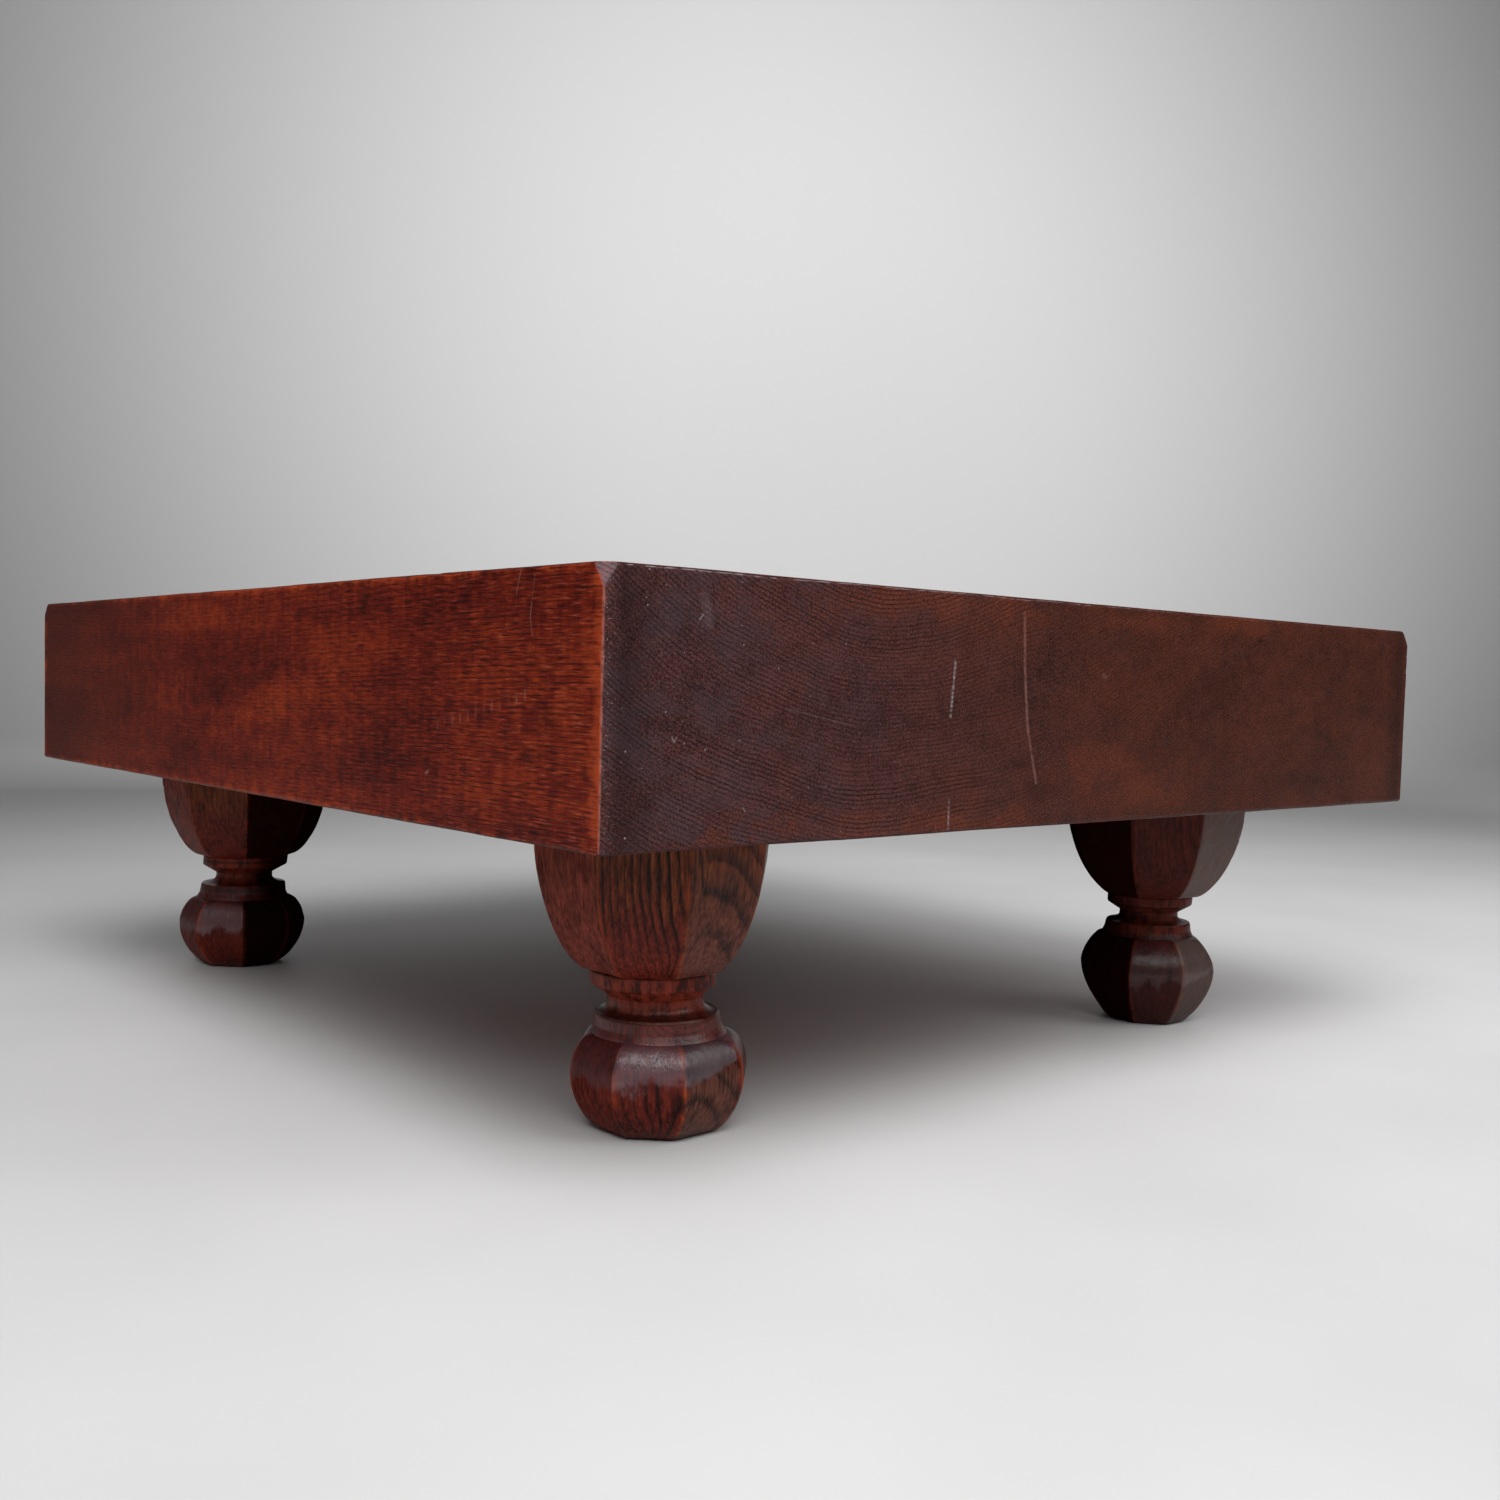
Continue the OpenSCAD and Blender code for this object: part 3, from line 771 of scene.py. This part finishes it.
    # End grain: purplish brown near the left corner, redder and then browner to the right, with
    # warmer and darker stretches, and a painted reflection, a grey-lilac sheen that thins out to the
    # right
    grain = weighted(t, add(t, TIMES, dots, 3), (mottle, 0.55), (patch, 0.8))
    grain = add(t, RANGE, grain, 1.7, 2.65, 0, 1)
    brown = add(t, TIMES_PLUS, patch, 120, x)
    brown = add(t, SOFT, brown, -90, 90, 0, 1)
    low = add(t, MIX, brown, linear(END_DARK), linear(END_DARK_RIGHT))
    high = add(t, MIX, brown, linear(END_LIGHT), linear(END_LIGHT_RIGHT))
    ends = add(t, MIX, grain, low, high)
    warm = blots(t, place, 1, FRONT_WARM, ragged)
    warm = masked(t, warm, front, add(t, RANGE, dots, 0.38, 0.6, 0.3, 1))
    gloomy = add(t, TIMES, blots(t, place, 1, FRONT_DARK, ragged), front)
    fade = add(t, SOFT, x, -166, -60, 1, 0.1)
    painted_sheen = masked(t, fade, cloud, front, 0.45)
    ends = layered(t, ends, (warm, END_WARM), (gloomy, DIRT_AND_EDGE_SHADE), (painted_sheen, END_PAINTED_SHEEN))
    colour = add(t, MIX, end, side, ends)

    # Rows of pores and the darker early wood, clearer in some places than in others
    clear = add(t, RANGE, patch, 0.35, 0.65, 0.6, 1)
    calm = add(t, MIX, end, plain, add(t, SOFT, x, -105, 0, 0, 0.6))
    clear = held_back(t, clear, (calm, 1))
    shade = add(t, TIMES_PLUS, hole, 1.4, add(t, TIMES, early, 0.84))
    shade = add(t, TIMES, shade, clear, use_clamp=True)
    shade = add(t, TIMES, shade, add(t, TIMES_PLUS, end, 0.2, 0.8))
    deep = add(t, MIX, end, linear(LONG_DEEP), linear(END_DEEP))
    colour = add(t, MIX, shade, colour, deep)

    # Worn edges: how far the nearest edge is, from the distances to the block's sides
    ax, ay, az = (
        add(t, TIMES_PLUS, add(t, "Math", v, operation="ABSOLUTE"), -1, half)
        for v, half in zip((x, y, add(t, PLUS, z, -BLOCK_MIDDLE[2])), BLOCK)
    )
    xy, xz, yz = (add(t, MOST, a, b) for a, b in ((ax, ay), (ax, az), (ay, az)))
    level = add(t, LEAST, xz, yz)
    wide = add(t, LEAST, xy, add(t, TIMES, level, 2.4))
    wide = add(t, PLUS, wide, add(t, TIMES_PLUS, mottle, -9, 4.5))
    wide = add(t, TIMES_PLUS, end, 3.5, wide)
    rubbed = add(t, SOFT, wide, 0, 5.5, 0.8, 0)
    rubbed = add(t, TIMES, rubbed, add(t, RANGE, tone, 0.25, 0.8, 0.08, 1))
    worn = add(t, MIX, end, linear(LONG_WORN), linear(END_WORN))
    colour = add(t, MIX, rubbed, colour, worn)

    # Painted shade: the front is darkest 3 to 8 mm from its upright edges
    painted_edge_shade = add(t, TIMES, window(t, xy, (2, 4.5), (6, 14), 0.45), end)

    # The upright edges get a painted highlight, a broken pink line; the level ones a painted dark line
    # of shade, and along the top of the front a painted broken highlight lies just under them
    upright = add(t, LEAST, sideways, endways)
    flake = add(t, RANGE, stretched(t, place, (1.3, 1.3, 1.8), 3), 0.38, 0.58, 0.35, 1)
    crest = add(t, RANGE, upright, 0.38, 0.62, 0, 0.72)
    crest = masked(t, crest, add(t, RANGE, sloping, 0.1, 0.3, 1, 0), flake)
    rim = add(t, RANGE, sloping, 0.45, 0.75, 0, 0.8)
    rim = add(t, TIMES, rim, add(t, RANGE, level, 0.45, 0.95, 1, 0))
    square = add(t, RANGE, upright, 0.15, 0.3, 1, 0)
    thinner = add(t, RANGE, x, -150, 90, 1, 0.1)
    broken = add(t, RANGE, stretched(t, place, (3, 1.3, 1.8), 3), 0.44, 0.58, 0, 1)
    top_highlight = masked(t, window(t, nz, (0.22, 0.4), (0.5, 0.65), 0.42), square, thinner, end, broken)

    # The shaved corners: bare grey end grain between the two kinds of face
    shaved = add(t, RANGE, upright, 0.3, 0.45, 0, 1)
    shaved = add(t, TIMES, shaved, add(t, RANGE, nz, 0.12, 0.3, 0, 0.4))
    shaved = held_back(t, shaved, (early, 0.8))

    # Bright specks in the end grain, where pores have filled with pale dust, crowded along its edges
    speck = add(t, TIMES, specks(t, add(t, "CombineXYZ", x, z), cell=5, most=0.05), 0.5)
    shifted = add(t, PLUS, add(t, TIMES, mottle, 5), x)
    crowd = specks(t, add(t, "CombineXYZ", shifted, z), cell=0.7, most=0.22)
    crowd = masked(t, crowd, 0.42, window(t, xy, (0.4, 0.7), (1.2, 5)))
    speck = masked(t, add(t, MOST, speck, crowd), end, fade)
    colour = layered(
        t, colour, (painted_edge_shade, END_EDGE_SHADE), (crest, CREST_HIGHLIGHT), (rim, DIRT_AND_EDGE_SHADE), (top_highlight, DUST_AND_HIGHLIGHT), (shaved, SHAVED),
        (speck, DUST_AND_HIGHLIGHT),
    )

    # Scratches in the lacquer: dusty beaded ones, a long shallow one, and scraped ones on the side
    beads = add(t, TIMES_PLUS, mottle, 14, add(t, TIMES, z, 5.2))
    beads = add(t, RANGE, add(t, "Math", beads, operation="SINE"), -0.9, 0.4, 0.35, 1)
    beads = add(t, TIMES, beads, flake)
    pale = [
        masked(t, mark(t, place, (u, FRONT_Y, v), (p, FRONT_Y, q), width), strength, gaps)
        for table, gaps in ((BEADED_MARKS, beads), (FINE_MARKS, 1))
        for (u, v), (p, q), width, strength in table
    ]
    pale = strongest(t, 0, *pale)
    red = strongest(t, *(
        mark(t, place, (u, FRONT_Y, v), (p, FRONT_Y, q), LONG_SCRATCH_W)
        for (u, v), (p, q) in zip(LONG_SCRATCH, LONG_SCRATCH[1:])
    ))
    red = add(t, TIMES, red, add(t, RANGE, flake, 0.35, 1, 0.16, 0.42))
    ticks = add(t, "Math", add(t, TIMES, y, TAU / TICK_PITCH), operation="SINE")
    ticks = add(t, RANGE, ticks, 0.5, 0.95, 0, 0.3)
    track = mark(t, place, (SIDE_X, *TICKS_FROM), (SIDE_X, *TICKS_TO), TICKS_W)
    ticks = masked(t, ticks, add(t, RANGE, mottle, 0.38, 0.6, 0.1, 1), track)
    scraped = [mark(t, place, (SIDE_X, *a), (SIDE_X, *b), width) for a, b, width in SIDE_MARKS]
    red = strongest(t, red, ticks, *(add(t, TIMES, one, 0.6) for one in scraped))
    colour = layered(t, colour, (red, SCRAPED), (pale, DUST_AND_HIGHLIGHT))

    depth = weighted(
        t, add(t, TIMES, hole, -0.05), (early, -0.02), (streak, 0.05), (mottle, 0.08),
        (red, -0.06), (pale, -0.08),
    )
    gloss = add(t, RANGE, mottle, 0.3, 0.7, 0.36, 0.52)
    gloss = add(t, TIMES_PLUS, hole, 0.15, gloss)
    return varnish(made, t, colour, gloss, depth, ior=1.45, shine=0.13)


# The wood of the legs, elsewhere and on the front flat: the cup, the bulb, and the painted sheen on
# its lacquer, a painted reflection of the light
LEG_WOOD, LEG_LOWER, LEG_PAINTED_SHEEN = ("#823124", "#7c463a"), ("#7c2c20", "#714437"), ("#7a626b", "#463d45")
# The left flat's wood, the golden top of the cup, and the left flat's darker painted sheen
LEG_LEFT, LEG_GOLDEN, LEG_PAINTED_SHEEN_LEFT = "#96493d", "#8b4a25", "#40272a"
# Pores, the red of the turned part, its streaks, and the painted shade in its creases
LEG_PORES, LEG_RED, LEG_STREAK, LEG_CREASE_SHADE = "#120604", "#9c3f2b", "#220c08", "#1d0c0a"
# Stain with painted shade, a painted greyish sheen, painted shade on the inner side, rubbed orange
LEG_STAIN_AND_SHADE, LEG_SHEEN_GREY, LEG_PAINTED_SHADE, LEG_RUBBED = "#2a1b1a", "#65544f", "#180605", "#b4491d"


def carved_leg_wood():
    """Wiped dark stain rubbed to a gloss on a coarser ring-porous hardwood: strong dark bands run down
    the flats or arch across them, golden brown under the block and red-brown lower down, and the
    ridges are rubbed through to orange."""
    made, t = new_material("rubbed dark stain on ring-porous hardwood")
    place = add(t, "Attribute", attribute_name="blank", out="Vector")
    x, y, z = add(t, "SeparateXYZ", place).node.outputs
    ridge, recess, inner, groove, stain, figure, grey, front_flat, left_flat = (
        add(t, "Attribute", attribute_name=name, out="Fac") for name in LEG_MASKS
    )

    # Rings: where x < -13.5 sheets square to y that bow with x, distance y + 0.0127 x^2, so that they
    # stripe the flats, and where x > -6 sheets that climb, 0.7 (0.42 z + 0.35 y + g (x + 4)^2), so
    # that they arch; g is 0.076 left of x = -4 and 0.017 right of it. The arches wander less.
    bow = add(t, TIMES_PLUS, add(t, TIMES, x, x), 0.0127, y)
    arch = add(t, TIMES_PLUS, z, 0.42, add(t, RANGE, z, 24, 34, -22, -47))
    arch = add(t, TIMES_PLUS, y, 0.35, arch)
    shifted = add(t, PLUS, x, 4)
    for side, bend in ((LEAST, 0.076), (MOST, 0.017)):
        one = add(t, side, shifted, 0)
        arch = add(t, TIMES_PLUS, add(t, TIMES, one, one), bend, arch)
    over = add(t, SOFT, x, -13.5, -6, 0, 1)
    step = add(t, MINUS, add(t, TIMES, arch, 0.7), bow)
    ring = add(t, TIMES_PLUS, over, step, bow)
    wander = add(t, PLUS, stretched(t, place, (30, 30, 60)), -0.5)
    ring = add(t, TIMES_PLUS, wander, add(t, TIMES_PLUS, over, -5.5, 8), ring)
    ring = add(t, PLUS, ring, 3.6)
    ring = add(t, TIMES_PLUS, stretched(t, place, (4, 4, 14)), 0.8, ring)
    thick = add(t, RANGE, z, 48, 62, 0.45, 0.72)
    thick = add(t, TIMES_PLUS, front_flat, -0.2, thick)
    band = year_bands(t, ring, width=2.2, weakest=0.55, fall=thick, rise=0.86)

    # The stripes fade towards the foot of the cup, and the flat on the left is plain
    on_bulb = add(t, RANGE, z, 22, 32, 1, 0)
    faded = add(t, SOFT, z, 41, 57, 0.5, 0)
    faded = add(t, TIMES, faded, add(t, RANGE, z, 38, 40, 0, 1))
    band = held_back(t, band, (held_back(t, faded, (over, 1)), 1))
    plain_side = add(t, TIMES_PLUS, left_flat, -0.85, 1)
    plain_side = add(t, TIMES_PLUS, front_flat, -0.32, plain_side)
    band = masked(t, band, plain_side, figure)

    hole = pores(t, place, (0.5, 0.5, 4), narrow=0.12, wide=0.5)
    hole = add(t, TIMES, hole, add(t, TIMES_PLUS, band, 0.8, 0.2))
    streak = stretched(t, place, (0.7, 0.7, 14), 3, 0.65)
    mottle = stretched(t, place, (6, 6, 8), 4, 0.62)

    # The bare wood: golden high on the cup, where a leg took little stain, and browner on the bulb
    bare = add(t, TIMES_PLUS, stain, -1.4, 1, use_clamp=True)
    golden = add(t, TIMES_PLUS, mottle, 26, z)
    golden = masked(t, add(t, SOFT, golden, 62, 86, 0, 1), plain_side, bare)
    wood, lower, sheen_colour = (
        add(t, MIX, front_flat, linear(elsewhere), linear(in_front))
        for elsewhere, in_front in (LEG_WOOD, LEG_LOWER, LEG_PAINTED_SHEEN)
    )
    wood = layered(t, wood, (left_flat, LEG_LEFT), (golden, LEG_GOLDEN))
    wood = add(t, MIX, add(t, TIMES, on_bulb, 0.8), wood, lower)
    tone = add(t, TIMES_PLUS, mottle, 0.9, add(t, TIMES, streak, 1.5))
    tone = add(t, RANGE, tone, 0.9, 1.5, 0, 1)
    lit = add(t, MIX, tone, linear("#7c6c68"), linear("#f6f2f0"))
    colour = add(t, MIX, 1, wood, lit, blend_type="MULTIPLY")

    # The lacquer that is left on the upper half of the bulb, with a painted greyish sheen, a painted
    # reflection of the light; it ends in a ragged line that climbs to the right, and the flat on the
    # far left has lost it
    climbing = add(t, TIMES_PLUS, x, -0.22, z)
    ragged = add(t, TIMES_PLUS, mottle, 16, climbing)
    ragged = add(t, SOFT, ragged, 23.9, 27.9, 0, 1)
    crisp = add(t, TIMES_PLUS, mottle, 6, climbing)
    crisp = add(t, RANGE, crisp, 18.7, 19.9, 0, 1)
    kept = add(t, MIX, front_flat, ragged, crisp)
    kept = masked(t, kept, add(t, RANGE, z, 23.3, 24.3, 1, 0.5), add(t, RANGE, z, 30, 32, 1, 0))
    painted_sheen = add(t, RANGE, front_flat, 0, 1, 0.42, 0.72)
    painted_sheen = add(t, PLUS, painted_sheen, add(t, TIMES, left_flat, 0.2))
    painted_sheen = masked(t, painted_sheen, kept, on_bulb, bare)
    shade = add(t, TIMES, band, 1.05)
    shade = add(t, TIMES_PLUS, hole, 0.7, shade, use_clamp=True)
    clear = add(t, TIMES_PLUS, painted_sheen, -1.2, 1)
    shade = add(t, TIMES, shade, clear, use_clamp=True)
    colour = add(t, MIX, shade, colour, linear(LEG_PORES))
    sheen_colour = add(t, MIX, left_flat, sheen_colour, linear(LEG_PAINTED_SHEEN_LEFT))
    colour = add(t, MIX, painted_sheen, colour, sheen_colour)

    # The collar and neck, turned: red with dark streaks, and painted shade deeper in the groove
    above = add(t, RANGE, z, 27.5, 29.5, 0.15, 1)
    redder = masked(t, groove, above, 0.55)
    streaks = add(t, RANGE, stretched(t, place, (2.6, 2.6, 9), 4, 0.65), 0.4, 0.56, 0.85, 0)
    streaks = masked(t, streaks, groove, add(t, TIMES_PLUS, above, 0.6, 0.4))
    # Painted shade: dark lines along the rim of the band and where the cup sits on the collar, and a
    # little darker deeper in the groove
    patchy = add(t, RANGE, mottle, 0.35, 0.5, 0.55, 1)
    crease_shade = strongest(t, add(t, TIMES, recess, 0.15), *(
        masked(t, window(t, z, (low, low + 0.4), (top - 0.4, top), much), patchy, groove)
        for low, top, much in ((27.6, 30.0, 0.72), (38.4, 39.5, 0.8))
    ))

    # Painted shade on the side towards the middle of the board, darkest on the flats facing it, and
    # real stain that some legs took more of, most on the bulb; a painted greyish sheen on the front
    # flat, less on the bulb
    shaded = add(t, RANGE, x, 9, 14, 0, 0.5)
    taken = add(t, TIMES, stain, add(t, TIMES_PLUS, on_bulb, 0.4, 1))
    stain_and_shade = add(t, MOST, shaded, taken)
    front_sheen = held_back(t, grey, (on_bulb, 0.45))
    dark = add(t, TIMES, inner, 0.92)

    # Ridges rubbed through to orange, most on the lower half of the bulb
    rub = add(t, TIMES_PLUS, mottle, 6, -2.3, use_clamp=True)
    rub = add(t, TIMES, ridge, rub, use_clamp=True)
    lowest = add(t, RANGE, z, 11, 16, 1, 0.7)
    lowest = add(t, MOST, lowest, add(t, RANGE, z, 22, 26, 0, 1))
    rub = masked(t, rub, lowest, add(t, TIMES_PLUS, bare, 0.95, 0.05))
    rub = held_back(t, rub, (dark, 0.75), (groove, 0.75))
    colour = layered(
        t, colour, (redder, LEG_RED), (streaks, LEG_STREAK), (crease_shade, LEG_CREASE_SHADE), (stain_and_shade, LEG_STAIN_AND_SHADE),
        (front_sheen, LEG_SHEEN_GREY), (dark, LEG_PAINTED_SHADE), (rub, LEG_RUBBED),
    )

    tooled = held_back(t, stretched(t, place, (1.5, 1.5, 3.2), 3, 0.6), (kept, 0.8))
    depth = add(t, TIMES, hole, -0.07)
    depth = weighted(t, depth, (streak, 0.06), (mottle, 0.35), (tooled, 0.2))
    gloss = add(t, RANGE, mottle, 0.3, 0.7, 0.26, 0.42)
    shine = add(t, RANGE, kept, 0, 1, 0.14, 0.75)
    shine = held_back(t, shine, (left_flat, 0.8), (inner, 1), (stain, 0.9))
    return varnish(made, t, colour, gloss, depth, ior=1.45, shine=shine)


def line_lacquer():
    """Black lacquer drawn in lines: semi-gloss, slightly brown where it is thin, faintly rippled."""
    made, t = new_material("black lacquer")
    place, _ = place_in_mm(t)
    cloud = stretched(t, place, (7, 7, 7), 3)
    thin = add(t, RANGE, cloud, 0.4, 0.7, 0, 1)
    colour = add(t, MIX, thin, linear("#0d0a0a"), linear("#221613"))
    ripple = add(t, TIMES, stretched(t, place, (1.3, 1.3, 1.3)), 0.03)
    gloss = add(t, RANGE, cloud, 0.3, 0.7, 0.34, 0.5)
    return varnish(made, t, colour, gloss, ripple, ior=1.52, shine=0.22)


# The wall stands 915 mm behind the object and is turned 10 degrees from the camera
WALL_AWAY, WALL_YAW = 915.0, math.radians(30.9)
WALL_BRIGHT = (700, 650, 350)  # the middle of the light on the wall, mm
FLOOR_BRIGHT = (100, -500, 0)  # and of the light on the floor
FAR_GREY = "#8a8a8a"


def floor_finish():
    """Pale painted plaster, matt, with the faintest clouds, and painted greyer on the floor and on the
    wall away from their brightest parts, a painted falloff of the light."""
    made, t = new_material("pale matt plaster")
    place, _ = place_in_mm(t)
    height = add(t, "SeparateXYZ", place, out=2)
    cloud = add(t, RANGE, stretched(t, place, (160, 160, 160), 4), 0.3, 0.7, 0, 1)
    floor_off, wall_off = (add(t, DISTANCE, place, at, out=1) for at in (FLOOR_BRIGHT, WALL_BRIGHT))
    off = add(t, LENGTH, place, out=1)
    # How far floor and wall are dimmed, and how far they give way, beyond the photo's frame, where
    # the lamps don't reach, to the world's even grey, which only the camera sees
    floor_dim, wall_dim, floor_end, wall_end = (
        add(t, SOFT, value, *span, 0, 1)
        for value, span in (
            (floor_off, (300, 1500)), (wall_off, (150, 1150)),
            (off, (820, 1500)), (wall_off, (870, 1700)),
        )
    )
    colour = add(t, MIX, cloud, linear("#cfcfcf"), linear("#dadada"))
    # Painted falloff of the light: floor and wall paint greyer away from their brightest parts
    colour = add(t, MIX, floor_dim, colour, linear("#848484"))
    lit = add(t, MIX, wall_dim, linear("#e4e4e4"), linear("#747474"))
    wall = add(t, RANGE, height, 0, 45, 0, 1)
    paint = add(t, "BsdfPrincipled", add(t, MIX, wall, colour, lit), s_Roughness=0.6)
    end = add(t, MIX, wall, floor_end, wall_end)
    end = add(t, TIMES, end, add(t, "LightPath"))
    even = add(t, "Emission", linear(FAR_GREY), 1)
    add(t, "OutputMaterial", add(t, "MixShader", end, paint, even))
    return made


# ---- the object: what each piece rides on, which node it replaces and its material

wood = block_wood()
leg_wood = carved_leg_wood()
lacquer = line_lacquer()
floor_paint = floor_finish()

block = make_block(wood)
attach(block, "block")
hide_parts("board")

lines = lacquer_lines(lacquer)
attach(lines, "block")
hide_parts("grid_lines")

dots = star_dots(lacquer)
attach(dots, "block")
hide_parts("star_points")

for leg_name, leg in LEGS.items():
    made = make_leg(leg_name, leg, leg_wood)
    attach(made, leg_name.removesuffix("_leg"))
    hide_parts(leg_name)


# ---- the studio

SWEEP_REACH, WALL_H, WALL_FILLET = 6000, 4000, 45.0


def studio_sweep(material):
    """The floor and the wall behind: a profile of distance and height, carried sideways."""
    bend = np.radians(np.arange(0, 91, 6))
    foot = WALL_AWAY - WALL_FILLET + WALL_FILLET * np.sin(bend)
    foot = np.stack([foot, WALL_FILLET * (1 - np.cos(bend))], -1)
    floor = [[-SWEEP_REACH, 0], [-2000, 0], [0, 0]]
    profile = np.concatenate([floor, foot, [[WALL_AWAY, WALL_H]]])
    across = np.array([-1.0, 1.0]) * SWEEP_REACH
    ahead = np.array([math.sin(WALL_YAW), math.cos(WALL_YAW)])
    right = np.array([math.cos(WALL_YAW), -math.sin(WALL_YAW)])
    level = profile[:, None, :1] * ahead + across[None, :, None] * right
    points = np.concatenate([level, np.repeat(profile[:, None, 1:], 2, 1)], -1).reshape(-1, 3)
    faces = grid_faces(len(profile), 2, False)[:, ::-1].tolist()
    return make_mesh("studio_sweep", points, faces, material, smooth_angle=60)


floor = studio_sweep(floor_paint)

CAMERA_AT = np.array([-334.5, -420.2, 109.7])
YAW, PITCH, ROLL = (math.radians(a) for a in (40.929, -2.547, 1.448))
LENS, SENSOR = 35.858, 36  # the sensor's 36 mm lie across the square image

ahead = Vector((math.sin(YAW) * math.cos(PITCH), math.cos(YAW) * math.cos(PITCH), math.sin(PITCH)))
level = Vector((math.cos(YAW), -math.sin(YAW), 0))
upright = level.cross(ahead)
right = math.cos(ROLL) * level + math.sin(ROLL) * upright
up = -math.sin(ROLL) * level + math.cos(ROLL) * upright
camera = placed(bpy.data.objects.new("camera", bpy.data.cameras.new("camera")))
camera.data.lens, camera.data.sensor_width = LENS, SENSOR
camera.data.clip_start, camera.data.clip_end = 0.01, 100
turned = Matrix((right, up, -ahead)).transposed().to_4x4()
camera.matrix_world = Matrix.Translation(Vector(CAMERA_AT * MM)) @ turned
bpy.context.scene.camera = camera


def soft_lamp(name, at, towards, size, power):
    """A square soft box at a place in metres, turned towards a point, its power in watts."""
    lamp = bpy.data.lights.new(name, "AREA")
    lamp.shape, lamp.size, lamp.energy = "SQUARE", size, power
    made = placed(bpy.data.objects.new(name, lamp))
    made.location = at
    made.rotation_euler = (Vector(towards) - Vector(at)).to_track_quat("-Z", "Y").to_euler()


soft_lamp("key", (-0.65, -0.75, 1.25), towards=(0, 0, 0.05), size=1.0, power=19)
soft_lamp("fill", (0.55, -1.05, 1.0), towards=(0, 0, 0.05), size=0.9, power=6)
soft_lamp("wall", (-0.2, -0.25, 1.55), towards=(0.75, 0.7, 0.4), size=1.2, power=10)

# The camera sees an even grey, and everything else a faint white light from all round
world = bpy.data.worlds.new("studio")
world.use_nodes = True
bpy.context.scene.world = world
sky = world.node_tree
sky.nodes.clear()
seen = add(sky, "Background", linear(FAR_GREY), 1.0)
light = add(sky, "Background", linear("#ffffff"), 0.14)
add(sky, "OutputWorld", add(sky, "MixShader", add(sky, "LightPath"), light, seen))

bpy.context.scene.view_settings.view_transform = "Standard"
